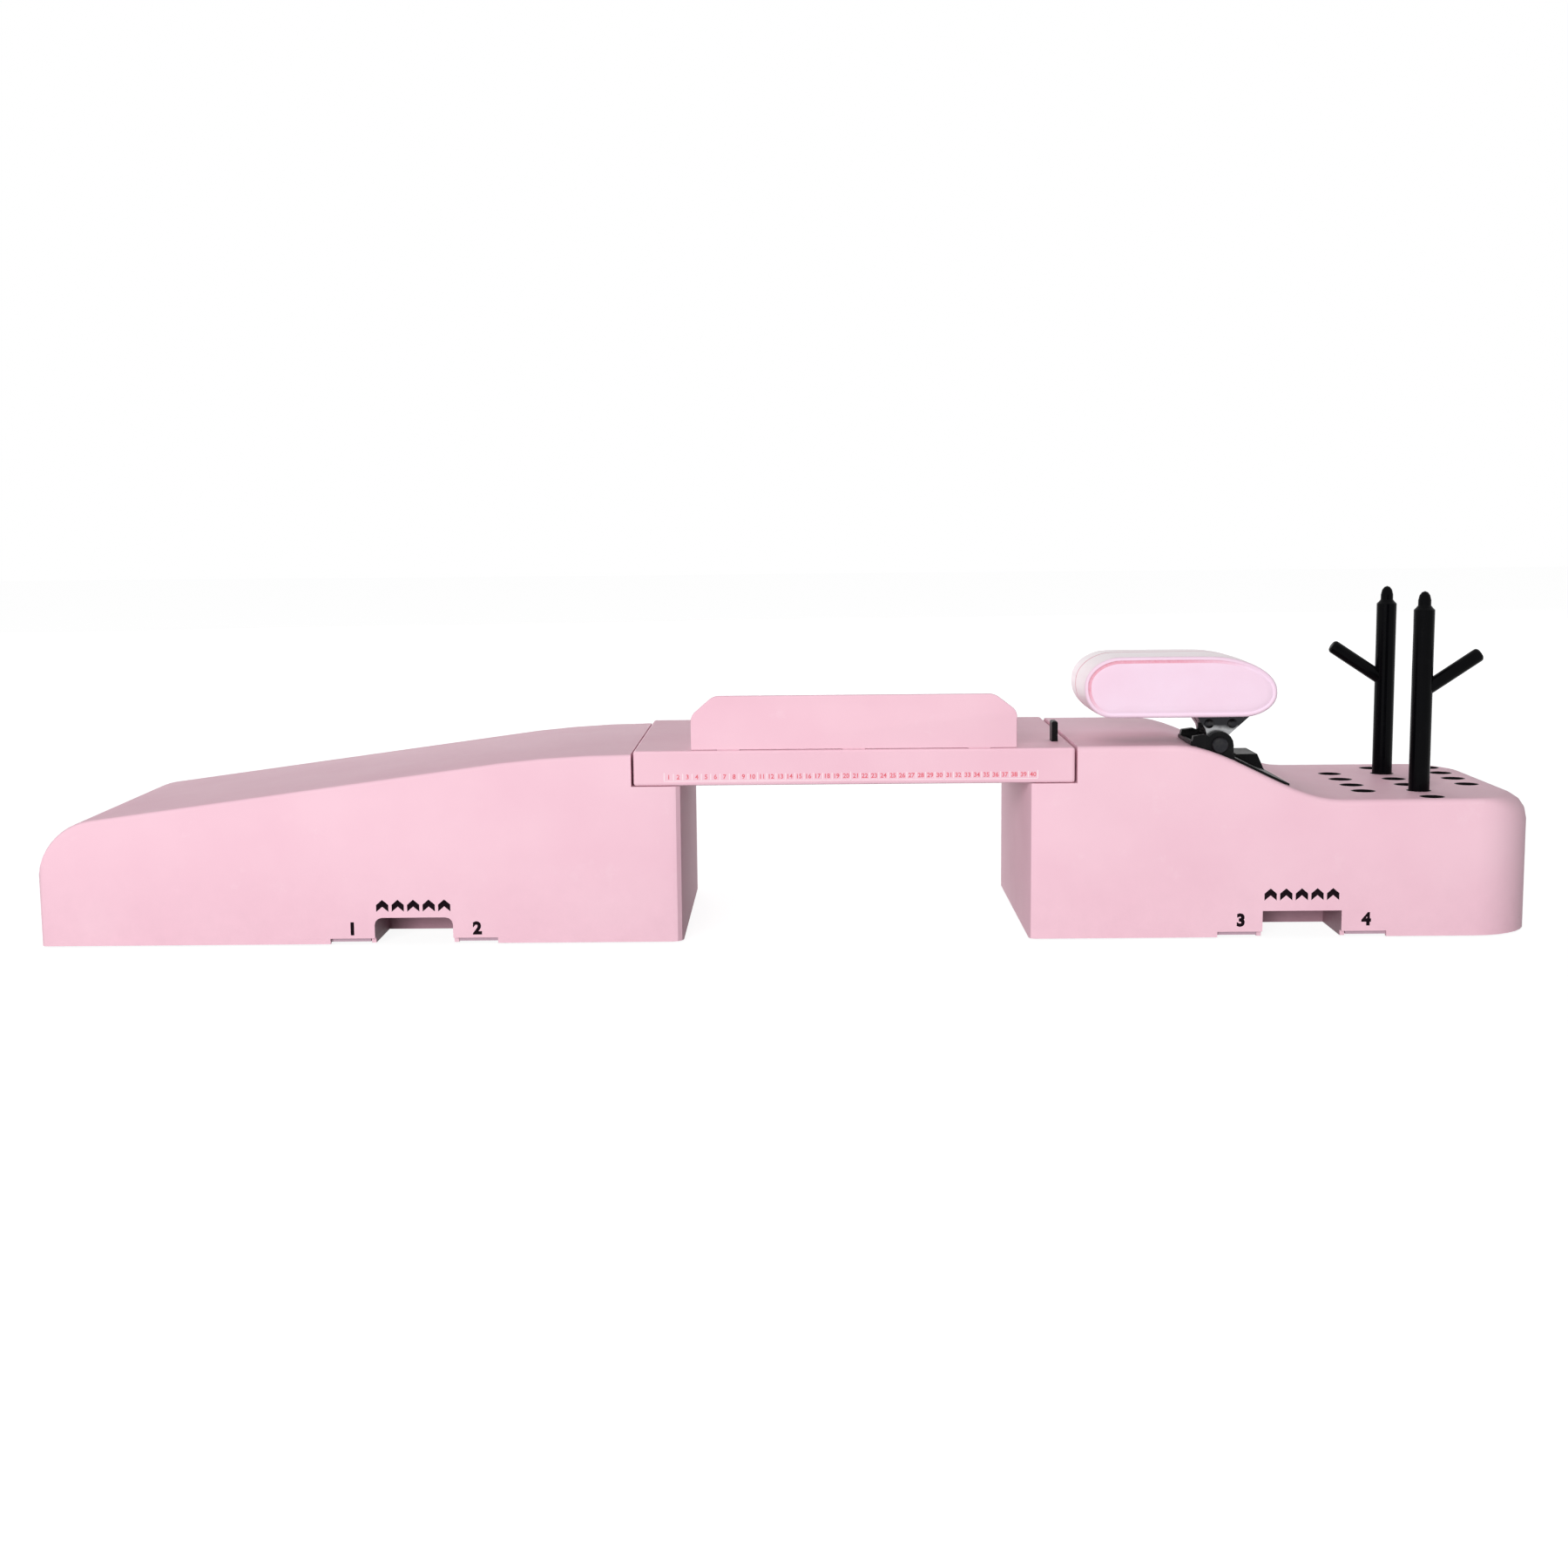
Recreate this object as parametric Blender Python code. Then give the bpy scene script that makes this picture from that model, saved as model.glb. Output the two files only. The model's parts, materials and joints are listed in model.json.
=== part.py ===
"""Tabletop palm press for die cutting: two moulded pedestals, a lift-off bridge bed,
a hinged press lever with a palm pad, and a tool deck with two Y-pegs.
Metres, +Z up, +X to the right of the user, -Y towards the user."""

import math

import bmesh
import bpy
from mathutils import Matrix, Vector

for old in list(bpy.data.objects):
    bpy.data.objects.remove(old, do_unlink=True)

# Driving dimensions of the whole machine
LEFT_REACH = 0.400
RIGHT_REACH = 0.412
DEPTH = 0.162
WALL = 0.0025
GAP = 0.0003
RIM_Z = 0.0010
END_L = -LEFT_REACH
END_R = RIGHT_REACH
CENTRE_X = (END_L + END_R) / 2
FRONT = -DEPTH / 2
BACK = DEPTH / 2

# Left pedestal: round nose, straight ramp that eases into a level shelf
LEFT_INNER = -0.051
NOSE_R = 0.034
NOSE_Z = 0.036
RAMP_SLOPE = 0.133
EASE_LEN = 0.080
SHELF_Z = 0.1032

# Right pedestal: level head, S-shaped slope, tool deck with a rounded end
RIGHT_INNER = 0.136
HEAD_Z = 0.1055
DECK_Z = 0.0755
SLOPE_X0 = 0.213
SLOPE_X1 = 0.304
CORNER_R = 0.036
EDGE_ROLL = 0.0035
BACK_ROLL = 0.012
END_ROLL = 0.014

# Bridge bed, its rabbets, its fence and its latch
BED_X0 = -0.0765
BED_X1 = 0.160
BED_TOP = 0.1050
BED_T = 0.019
SEAM = 0.0013
FENCE_X0 = -0.0455
FENCE_X1 = 0.129
FENCE_H = 0.029
FENCE_T = 0.003
FENCE_CORNER = 0.012
TAB_W = 0.012
TAB_H = 0.006
LATCH_X = 0.1525
LATCH_Y = FRONT + 0.034
LATCH_H = 0.011

# Finger notches under the front edge
NOTCH_W = 0.0425
NOTCH_H = 0.0153
NOTCH_D = 0.040
STEP_W = 0.091
STEP_H = 0.003
NOTCH_L_X = -0.197
NOTCH_R_X = 0.283

# Press lever, its bracket and the palm pad
PIVOT = Vector((0.2385, FRONT + 0.027, 0.1045))
PIN_R = 0.003
HUB_R = 0.0055
HUB_W = 0.0292
EAR_T = 0.0044
BRACKET_X0 = 0.2230
BRACKET_X1 = 0.2466
PANEL_X1 = 0.2755
NECK_TOP_Z = 0.1194
PAD_Z0 = 0.1197
PAD_Z1 = 0.1535
PAD_X0 = 0.1645
PAD_X1 = 0.2690
PAD_D = 0.062
PAD_Y = FRONT + 0.0335
PANEL_Y0 = FRONT + 0.004
PANEL_Y1 = FRONT + 0.064
PLATE_T = 0.0025
ARM_Z = 0.0630
SPRING_X = 0.2070
SPRING_R = 0.0060
SPRING_WIRE = 0.0008
SPRING_TURNS = 8

# Tool deck: holes in three columns, pegs in the middle one
HOLE_R = 0.0065
ROW_PITCH = 0.0244
ROW_FIRST = FRONT + 0.0103
DECK_L = END_R - SLOPE_X1
COLUMN_X = (SLOPE_X1 + 0.18 * DECK_L, SLOPE_X1 + 0.463 * DECK_L, SLOPE_X1 + 0.778 * DECK_L)
COLUMN_ROWS = ((1, 5), (0, 6), (2, 6))
SOCKET_TOP = 0.0685
SOCKET_D = 0.034
PEG_R = 0.00565
PEG_H = 0.1095
PEG_TIP_R = 0.0035
PEG_TIP_H = 0.009
BRANCH_R = 0.0039
BRANCH_L = 0.034
BRANCH_Z = 0.0545
BRANCH_RISE = math.radians(33.5)

# Base plates, feet and screws
PLATE_Z0 = 0.0018
PLATE_Z1 = 0.0043
FOOT_R = 0.008
FOOT_H = 0.0015
BOSS_R = 0.005
SCREW_R = 0.0015
SCREW_HEAD_R = 0.0032
SCREW_TOP = 0.018


def left_top(x):
    """Height of the left pedestal's top at x."""
    lean = math.atan(RAMP_SLOPE)
    centre = END_L + NOSE_R
    ramp_x = centre - NOSE_R * math.sin(lean)
    ramp_z = NOSE_Z + NOSE_R * math.cos(lean)
    straight = (SHELF_Z - ramp_z - RAMP_SLOPE * EASE_LEN / 2) / RAMP_SLOPE
    ease_x = ramp_x + straight
    if x < ramp_x:
        return NOSE_Z + math.sqrt(max(NOSE_R**2 - (centre - x) ** 2, 0.0))
    if x < ease_x:
        return ramp_z + RAMP_SLOPE * (x - ramp_x)
    if x < ease_x + EASE_LEN:
        run = ease_x + EASE_LEN - x
        return SHELF_Z - RAMP_SLOPE * run * run / (2 * EASE_LEN)
    return SHELF_Z


def right_top(x):
    """Height of the right pedestal's top at x."""
    t = min(max((x - SLOPE_X0) / (SLOPE_X1 - SLOPE_X0), 0.0), 1.0)
    return HEAD_Z - (HEAD_Z - DECK_Z) * t * t * (3 - 2 * t)


def spread(a, b, count):
    """Count even values from a to b, both included."""
    return [a + (b - a) * i / (count - 1) for i in range(count)]


def left_stations():
    """Plan points of the left pedestal's front edge: (x, half depth, normal, roll)."""
    half = DEPTH / 2
    small = 0.0032
    inner = 0.006
    rows = []
    edge = 0.0022
    for turn in spread(0.0, math.pi / 2, 4):
        x = END_L + small * (1 - math.cos(turn))
        fade = 0.0004 + (edge - 0.0004) * turn / (math.pi / 2)
        rows.append((x, half - small * (1 - math.sin(turn)), (-math.cos(turn), -math.sin(turn)), fade))
    lean = math.atan(RAMP_SLOPE)
    centre = END_L + NOSE_R
    start = math.acos(1 - small / NOSE_R)
    for turn in spread(start, math.pi / 2 - lean, 9)[1:]:
        rows.append((centre - NOSE_R * math.cos(turn), half, (0.0, -1.0), edge))
    flat_x = LEFT_INNER - 0.029
    for x in spread(rows[-1][0], flat_x, 14)[1:]:
        rows.append((x, half, (0.0, -1.0), edge))
    for turn in spread(math.pi / 2, 0.0, 4):
        x = LEFT_INNER - inner * (1 - math.cos(turn))
        rows.append((x, half - inner * (1 - math.sin(turn)), (math.cos(turn), -math.sin(turn)), edge))
    return [(x, h, n, roll, roll) for x, h, n, roll in rows]


def right_stations():
    """Plan points of the right pedestal's front edge, with the big rounded right end."""
    half = DEPTH / 2
    small = 0.0032
    rows = []
    for t in spread(0.0, math.pi / 2, 3):
        x = RIGHT_INNER + small * (1 - math.cos(t))
        rows.append((x, half - small * (1 - math.sin(t)), (-math.cos(t), -math.sin(t)), EDGE_ROLL, BACK_ROLL))
    for x in (BED_X1 + SEAM + 0.001, BED_X1 + SEAM + 0.019, SLOPE_X0):
        rows.append((x, half, (0.0, -1.0), EDGE_ROLL, BACK_ROLL))
    for x in spread(SLOPE_X0, SLOPE_X1, 15)[1:]:
        rows.append((x, half, (0.0, -1.0), EDGE_ROLL, BACK_ROLL))
    for x in spread(SLOPE_X1, END_R - CORNER_R, 3)[1:]:
        rows.append((x, half, (0.0, -1.0), EDGE_ROLL, BACK_ROLL))
    for turn in spread(0.0, math.pi / 2, 9)[1:]:
        blend = min(turn / math.radians(60), 1.0)
        blend = blend * blend * (3 - 2 * blend)
        front = EDGE_ROLL + (END_ROLL - EDGE_ROLL) * blend
        back = BACK_ROLL + (END_ROLL - BACK_ROLL) * blend
        x = END_R - CORNER_R * (1 - math.sin(turn))
        h = half - CORNER_R * (1 - math.cos(turn))
        rows.append((x, h, (math.sin(turn), -math.cos(turn)), front, back))
    return rows


def skin(bm, stations, top, steps, inset, floor):
    """Side walls, rolled edges and top of one moulding; returns its bottom loop."""
    front = []
    back = []
    for x, half, normal, roll_f, roll_b in stations:
        for side, roll, store in ((1, roll_f, front), (-1, roll_b, back)):
            px = x - normal[0] * inset
            py = side * (-half) - side * normal[1] * inset
            z = top(px)
            r = max(roll - inset, 0.0006)
            rib = [bm.verts.new((px, py, floor))]
            for k in range(steps + 1):
                t = math.pi / 2 * k / steps
                back_off = r * (1 - math.cos(t))
                rib.append(bm.verts.new((
                    px - normal[0] * back_off,
                    py - side * normal[1] * back_off,
                    z - r * (1 - math.sin(t)),
                )))
            store.append(rib)
    last = len(stations) - 1
    for side in (front, back):
        for i in range(last):
            for k in range(steps + 1):
                bm.faces.new((side[i][k], side[i + 1][k], side[i + 1][k + 1], side[i][k + 1]))
    for i in (0, last):
        for k in range(steps + 1):
            bm.faces.new((front[i][k], front[i][k + 1], back[i][k + 1], back[i][k]))
    for i in range(last):
        bm.faces.new((front[i][-1], front[i + 1][-1], back[i + 1][-1], back[i][-1]))
    return [rib[0] for rib in front] + [rib[0] for rib in reversed(back)]


def steep(top, x):
    """Vertical drop that keeps the wall's thickness under a sloping top."""
    slope = (top(x + 0.0005) - top(x - 0.0005)) / 0.001
    return WALL * math.sqrt(1 + min(slope * slope, 16.0))


def moulding(name, stations, top, low, low_x0, low_x1, material):
    """Hollow shell, open below; its ceiling drops under the rabbet from low_x0 to low_x1."""
    def ceiling(x):
        z = top(x) - steep(top, x)
        away = max(low_x0 - x, x - low_x1, 0.0)
        return min(z, low - WALL + away * 1.2)

    bm = bmesh.new()
    outer = skin(bm, stations, top, 4, 0.0, RIM_Z)
    inner = skin(bm, stations, ceiling, 4, WALL, RIM_Z)
    count = len(outer)
    for i in range(count):
        j = (i + 1) % count
        bm.faces.new((outer[i], outer[j], inner[j], inner[i]))
    bmesh.ops.recalc_face_normals(bm, faces=bm.faces)
    return finish(name, bm, material)


def paint(name, colour, roughness, metallic=0.0):
    """One Principled material."""
    material = bpy.data.materials.new(name)
    material.use_nodes = True
    shader = material.node_tree.nodes["Principled BSDF"]
    shader.inputs["Base Color"].default_value = (*colour, 1.0)
    shader.inputs["Roughness"].default_value = roughness
    shader.inputs["Metallic"].default_value = metallic
    material.diffuse_color = (*colour, 1.0)
    return material


def finish(name, bm, material, origin=None):
    """Mesh object from a bmesh, shaded smooth, with its origin where it turns."""
    mesh = bpy.data.meshes.new(name)
    if origin is not None:
        bmesh.ops.translate(bm, verts=bm.verts, vec=-Vector(origin))
    bm.to_mesh(mesh)
    bm.free()
    obj = bpy.data.objects.new(name, mesh)
    bpy.context.scene.collection.objects.link(obj)
    if origin is not None:
        obj.location = origin
    if material is not None:
        mesh.materials.append(material)
    mesh.shade_smooth()
    mesh.set_sharp_from_angle(angle=math.radians(32))
    return obj


def box(bm, x0, x1, y0, y1, z0, z1):
    """Axis-aligned block between two corners."""
    size = Matrix.Diagonal((x1 - x0, y1 - y0, z1 - z0, 1.0))
    place = Matrix.Translation(((x0 + x1) / 2, (y0 + y1) / 2, (z0 + z1) / 2))
    return bmesh.ops.create_cube(bm, size=1.0, matrix=place @ size)["verts"]


def rod(bm, start, end, radius, sides, radius_end=None):
    """Closed cylinder or cone between two points."""
    start = Vector(start)
    end = Vector(end)
    run = end - start
    turn = run.to_track_quat("Z", "Y").to_matrix().to_4x4()
    place = Matrix.Translation((start + end) / 2) @ turn
    bmesh.ops.create_cone(
        bm, cap_ends=True, segments=sides, radius1=radius,
        radius2=radius if radius_end is None else radius_end, depth=run.length, matrix=place,
    )


def prism(bm, outline, y0, y1):
    """Outline of (x, z) points extruded from y0 to y1."""
    face = bm.faces.new([bm.verts.new((x, y0, z)) for x, z in outline])
    pushed = bmesh.ops.extrude_face_region(bm, geom=[face])["geom"]
    moved = [v for v in pushed if isinstance(v, bmesh.types.BMVert)]
    bmesh.ops.translate(bm, verts=moved, vec=(0.0, y1 - y0, 0.0))
    bmesh.ops.recalc_face_normals(bm, faces=bm.faces)


def plan_plate(bm, outline, z0, z1):
    """Outline of (x, y) points extruded from z0 to z1."""
    face = bm.faces.new([bm.verts.new((x, y, z0)) for x, y in outline])
    pushed = bmesh.ops.extrude_face_region(bm, geom=[face])["geom"]
    moved = [v for v in pushed if isinstance(v, bmesh.types.BMVert)]
    bmesh.ops.translate(bm, verts=moved, vec=(0.0, 0.0, z1 - z0))
    bmesh.ops.recalc_face_normals(bm, faces=bm.faces)


def turned(bm, profile, centre, sides):
    """Profile of (radius, z) points from the axis round to the axis, spun about Z."""
    chain = [bm.verts.new((centre[0] + r, centre[1], centre[2] + z)) for r, z in profile]
    edges = [bm.edges.new((a, b)) for a, b in zip(chain, chain[1:])]
    bmesh.ops.spin(
        bm, geom=chain + edges, cent=centre, axis=(0, 0, 1), angle=2 * math.pi,
        steps=sides, use_merge=True,
    )
    bmesh.ops.remove_doubles(bm, verts=bm.verts, dist=0.00001)
    bmesh.ops.recalc_face_normals(bm, faces=bm.faces)


def combine(target, tools, operation):
    """Boolean of the target with the bodies built in the bmesh tools."""
    cutter = finish("cutter", tools, None)
    cutter.hide_render = True
    cutter.display_type = "WIRE"
    cutter.location = (0.0, 0.0, 0.0)
    change = target.modifiers.new("Boolean", "BOOLEAN")
    change.operation = operation
    change.solver = "EXACT"
    change.object = cutter
    bpy.context.view_layer.update()
    graph = bpy.context.evaluated_depsgraph_get()
    result = bpy.data.meshes.new_from_object(target.evaluated_get(graph))
    target.modifiers.clear()
    before = target.data
    target.data = result
    bpy.data.meshes.remove(before)
    bpy.data.objects.remove(cutter, do_unlink=True)
    result.shade_smooth()
    result.set_sharp_from_angle(angle=math.radians(32))


def cut(target, tools):
    """Take the tools' bodies out of the target."""
    combine(target, tools, "DIFFERENCE")


def fuse(target, tools):
    """Join the tools' bodies to the target, one after another."""
    combine(target, tools, "UNION")


pink = paint("pink_moulded_plastic", (0.84, 0.58, 0.66), 0.42)
pink_bed = paint("pink_bed_plastic", (0.82, 0.55, 0.63), 0.40)
pad_pink = paint("pale_pink_soft_pad", (0.90, 0.70, 0.84), 0.50)
black = paint("black_plastic", (0.012, 0.012, 0.014), 0.35)
peg_black = paint("glossy_black_plastic", (0.006, 0.006, 0.007), 0.18)
steel = paint("polished_steel", (0.62, 0.62, 0.64), 0.22, 1.0)
plate_grey = paint("grey_base_plastic", (0.30, 0.26, 0.28), 0.55)
rubber = paint("black_rubber", (0.02, 0.02, 0.02), 0.80)

RABBET_Z = BED_TOP - BED_T - GAP


def notch_tools(bm, x, corner):
    """Finger notch: a deep recess with a shallow step on each side of it."""
    half = NOTCH_W / 2
    outline = [(x - half, RIM_Z - 0.004), (x + half, RIM_Z - 0.004)]
    for side, first in ((1, 0.0), (-1, math.pi / 2)):
        if corner == 0.0:
            outline.append((x + side * half, NOTCH_H))
            continue
        for turn in spread(first, first + math.pi / 2, 4):
            outline.append((
                x + side * (half - corner) + corner * math.cos(turn),
                NOTCH_H - corner + corner * math.sin(turn),
            ))
    prism(bm, outline, FRONT - 0.002, FRONT + NOTCH_D)


def pedestal(name, stations, top, low_x0, low_x1, notch_x, notch_corner, bosses, ribs):
    """Shell with its notch pocket, ribs, screw bosses and the rabbet for the bridge."""
    shell = moulding(name, stations, top, RABBET_Z, low_x0, low_x1, pink)
    pocket = bmesh.new()
    half = NOTCH_W / 2 + WALL
    box(pocket, notch_x - half, notch_x + half, FRONT + 0.001, FRONT + NOTCH_D + WALL, RIM_Z, NOTCH_H + WALL)
    fuse(shell, pocket)
    for x in ribs:
        rib = bmesh.new()
        side = FRONT + 0.001
        box(rib, x - 0.001, x + 0.001, side, -side, PLATE_Z1 + 0.004, min(top(x - 0.001), top(x + 0.001)) - 0.0013)
        fuse(shell, rib)
    for x, y in bosses:
        boss = bmesh.new()
        rod(boss, (x, y, PLATE_Z1 + GAP), (x, y, min(top(x - BOSS_R), top(x + BOSS_R)) - 0.0012), BOSS_R, 16)
        fuse(shell, boss)
    holes = bmesh.new()
    for x, y in bosses:
        rod(holes, (x, y, PLATE_Z1 - 0.002), (x, y, SCREW_TOP + 0.002), SCREW_R + GAP, 12)
    notch_tools(holes, notch_x, notch_corner)
    cut(shell, holes)
    ledge = bmesh.new()
    box(ledge, notch_x - STEP_W / 2, notch_x + STEP_W / 2, FRONT - 0.002, FRONT + 0.0035, RIM_Z - 0.003, RIM_Z + STEP_H)
    cut(shell, ledge)
    return shell


# Left pedestal
left_bosses = ((END_L + 0.070, 0.0), (LEFT_INNER - 0.045, 0.0))
left_ribs = (END_L + 0.105, NOTCH_L_X + 0.062)
left_shell = pedestal("left_shell", left_stations(), left_top, BED_X0 - SEAM, LEFT_INNER, NOTCH_L_X, 0.004,
                      left_bosses, left_ribs)
seat = bmesh.new()
box(seat, BED_X0 - SEAM, LEFT_INNER + 0.01, FRONT - 0.01, BACK + 0.01, RABBET_Z, SHELF_Z + 0.02)
cut(left_shell, seat)

# Right pedestal
right_bosses = ((RIGHT_INNER + 0.044, 0.045), (SLOPE_X1 - 0.008, 0.062))
right_ribs = (RIGHT_INNER + 0.032,)
right_shell = pedestal("right_shell", right_stations(), right_top, RIGHT_INNER, BED_X1 + SEAM, NOTCH_R_X, 0.0,
                       right_bosses, right_ribs)
seat = bmesh.new()
box(seat, RIGHT_INNER - 0.01, BED_X1 + SEAM, FRONT - 0.01, BACK + 0.01, RABBET_Z, HEAD_Z + 0.02)
cut(right_shell, seat)

HOLES = [(COLUMN_X[c], ROW_FIRST + ROW_PITCH * r) for c in range(3) for r in range(*COLUMN_ROWS[c])]
bores = bmesh.new()
for x, y in HOLES:
    rod(bores, (x, y, SOCKET_TOP - 0.012), (x, y, DECK_Z + 0.004), HOLE_R + GAP, 20)
EAR_Y = HUB_W / 2 + GAP
WELL_X0 = BRACKET_X0 + 0.0038
WELL_X1 = BRACKET_X1 - 0.0004
box(bores, WELL_X0, WELL_X1, PIVOT.y - EAR_Y - EAR_T - GAP * 2, PIVOT.y + EAR_Y + EAR_T + GAP * 2,
    PIVOT.z - 0.018, HEAD_Z + 0.01)
cut(right_shell, bores)


def base_plate(name, stations, notch_x, bosses):
    """Closing plate inside the skirt, cut out round the notch, with recessed screw holes."""
    outline = []
    for side in (1, -1):
        half_loop = []
        for x, half, normal, _, _ in stations:
            off = WALL + GAP
            half_loop.append((x - normal[0] * off, side * (-half - normal[1] * off)))
        outline += half_loop if side == 1 else half_loop[::-1]
    bm = bmesh.new()
    plan_plate(bm, outline, PLATE_Z0, PLATE_Z1)
    plate = finish(name, bm, plate_grey)
    tools = bmesh.new()
    half = NOTCH_W / 2 + WALL + GAP
    box(tools, notch_x - half, notch_x + half, FRONT - 0.002, FRONT + NOTCH_D + WALL + GAP, PLATE_Z0 - 0.002, PLATE_Z1 + 0.002)
    for x, y in bosses:
        rod(tools, (x, y, PLATE_Z0 - 0.002), (x, y, PLATE_Z1 + 0.002), SCREW_R + GAP, 12)
    cut(plate, tools)
    tools = bmesh.new()
    for x, y in bosses:
        rod(tools, (x, y, PLATE_Z0 - 0.002), (x, y, PLATE_Z0 + 0.0014), SCREW_HEAD_R + GAP, 16)
    cut(plate, tools)
    return plate


def foot(name, x, y):
    """Stuck-on rubber disc with a rounded lower edge."""
    bm = bmesh.new()
    turned(bm, ((0.0, FOOT_H), (FOOT_R, FOOT_H), (FOOT_R, 0.0005), (FOOT_R - 0.0005, 0.0), (0.0, 0.0)), (x, y, 0.0), 20)
    return finish(name, bm, rubber)


def base_screw(name, x, y):
    """Pan-head screw driven up into a boss."""
    head = PLATE_Z0 + 0.0001
    seat_z = PLATE_Z0 + 0.0011
    profile = (
        (0.0, SCREW_TOP), (SCREW_R * 0.4, SCREW_TOP), (SCREW_R, SCREW_TOP - 0.0015), (SCREW_R, seat_z),
        (SCREW_HEAD_R, seat_z), (SCREW_HEAD_R, head + 0.0004), (SCREW_HEAD_R - 0.0005, head), (0.0, head),
    )
    bm = bmesh.new()
    turned(bm, profile, (x, y, 0.0), 12)
    return finish(name, bm, steel)


left_plate = base_plate("left_base_plate", left_stations(), NOTCH_L_X, left_bosses)
right_plate = base_plate("right_base_plate", right_stations(), NOTCH_R_X, right_bosses)
FOOT_Y = DEPTH / 2 - 0.023
for side, spots in (("left", (END_L + 0.025, LEFT_INNER - 0.035)), ("right", (RIGHT_INNER + 0.025, END_R - 0.034))):
    number = 0
    for x in spots:
        for y in (-FOOT_Y, FOOT_Y):
            number += 1
            foot(f"{side}_foot_{number}", x, y)
for side, spots in (("left", left_bosses), ("right", right_bosses)):
    for number, (x, y) in enumerate(spots, 1):
        base_screw(f"{side}_base_screw_{number}", x, y)

# Tool socket: block with blind holes under the deck, on four legs
SOCKET_Z0 = SOCKET_TOP - SOCKET_D - 0.003
socket_x0 = COLUMN_X[0] - HOLE_R - 0.003
socket_x1 = COLUMN_X[2] + HOLE_R + 0.0013
socket_y0 = FRONT + WALL + GAP
socket_y1 = ROW_FIRST + ROW_PITCH * 5 + HOLE_R + 0.002
corner_x = END_R - CORNER_R + 0.0005
corner_y = FRONT + CORNER_R - 0.013
bm = bmesh.new()
plan_plate(bm, (
    (socket_x0, socket_y0), (corner_x, socket_y0), (socket_x1, corner_y), (socket_x1, socket_y1 - 0.006),
    (socket_x1 - 0.004, socket_y1), (socket_x0, socket_y1),
), SOCKET_Z0, SOCKET_TOP)
tool_socket = finish("tool_socket", bm, black)
for x in (socket_x0 + 0.005, corner_x - 0.006):
    for y in (socket_y0 + 0.005, socket_y1 - 0.006):
        leg = bmesh.new()
        rod(leg, (x, y, PLATE_Z1 + GAP), (x, y, SOCKET_Z0 + 0.001), 0.004, 12)
        fuse(tool_socket, leg)
bores = bmesh.new()
for x, y in HOLES:
    rod(bores, (x, y, SOCKET_TOP - SOCKET_D), (x, y, SOCKET_TOP + 0.004), HOLE_R, 20)
cut(tool_socket, bores)

# Steel plate that backs the head under the palm pad
bm = bmesh.new()
anvil_top = HEAD_Z - WALL - GAP
box(bm, BED_X1 + SEAM + 0.020, WELL_X0 - 0.014, PAD_Y - 0.025, PAD_Y + 0.025, anvil_top - 0.004, anvil_top)
bmesh.ops.bevel(bm, geom=bm.edges[:], offset=0.0006, segments=1, affect="EDGES")
anvil = finish("anvil_plate", bm, steel)


def slope_strip(x0, x1, low, high, count):
    """Outline of a strip that follows the slope between two heights above it."""
    xs = spread(x0, x1, count)
    upper = [(x, right_top(x) + high) for x in xs]
    lower = [(x, right_top(x) + low) for x in reversed(xs)]
    return upper + lower


# Pivot bracket: flange on the slope with two ears that reach down into the well
bracket_y0 = PIVOT.y - EAR_Y - EAR_T
bracket_y1 = PIVOT.y + EAR_Y + EAR_T
bm = bmesh.new()
prism(bm, slope_strip(BRACKET_X0, BRACKET_X1, GAP, 0.0023, 7), bracket_y0, bracket_y1)
bracket = finish("pivot_bracket", bm, black)
hump = 0.0075
for side in (-1, 1):
    near = PIVOT.y + side * EAR_Y
    far = PIVOT.y + side * (EAR_Y + EAR_T)
    outline = [(BRACKET_X0 + 0.0004, right_top(BRACKET_X0) + 0.0012), (BRACKET_X0 + 0.0014, PIVOT.z + 0.0050),
               (BRACKET_X0 + 0.0075, PIVOT.z + 0.0058)]
    for turn in spread(math.radians(140), 0.0, 8):
        outline.append((PIVOT.x + hump * math.cos(turn), PIVOT.z + hump * math.sin(turn)))
    outline.append((PIVOT.x + hump, right_top(PIVOT.x + hump) + 0.0012))
    outline.append((WELL_X1 - GAP * 2, right_top(PIVOT.x + hump) - 0.0080))
    outline.append((WELL_X0 + GAP * 2, right_top(PIVOT.x + hump) - 0.0080))
    outline.append((WELL_X0 + GAP * 2, right_top(WELL_X0) + 0.0010))
    ear = bmesh.new()
    prism(ear, outline, min(near, far), max(near, far))
    fuse(bracket, ear)
way = bmesh.new()
box(way, WELL_X0 - 0.0008, BRACKET_X1 + 0.004, PIVOT.y - EAR_Y, PIVOT.y + EAR_Y, PIVOT.z - 0.03, PIVOT.z + 0.03)
cut(bracket, way)
bore = bmesh.new()
rod(bore, (PIVOT.x, PIVOT.y - 0.03, PIVOT.z), (PIVOT.x, PIVOT.y + 0.03, PIVOT.z), PIN_R + GAP, 20)
cut(bracket, bore)

# Black panel down the slope, and the stop block on it
bm = bmesh.new()
prism(bm, slope_strip(BRACKET_X1 + 0.0012, PANEL_X1, GAP, 0.0015, 8), PANEL_Y0, PANEL_Y1)
panel = finish("slope_panel", bm, black)
stop_x0 = BRACKET_X1 + 0.0064
stop_x1 = stop_x0 + 0.0155
foot_line = [(x, right_top(x) + 0.0015 + GAP) for x in spread(stop_x1, stop_x0, 6)]
bm = bmesh.new()
prism(bm, [(stop_x0, PIVOT.z - 0.0080), (stop_x1 - 0.0040, PIVOT.z - 0.0080)] + foot_line,
      PANEL_Y0 + 0.030, PANEL_Y1 - 0.001)
stop_block = finish("stop_block", bm, black)

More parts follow.
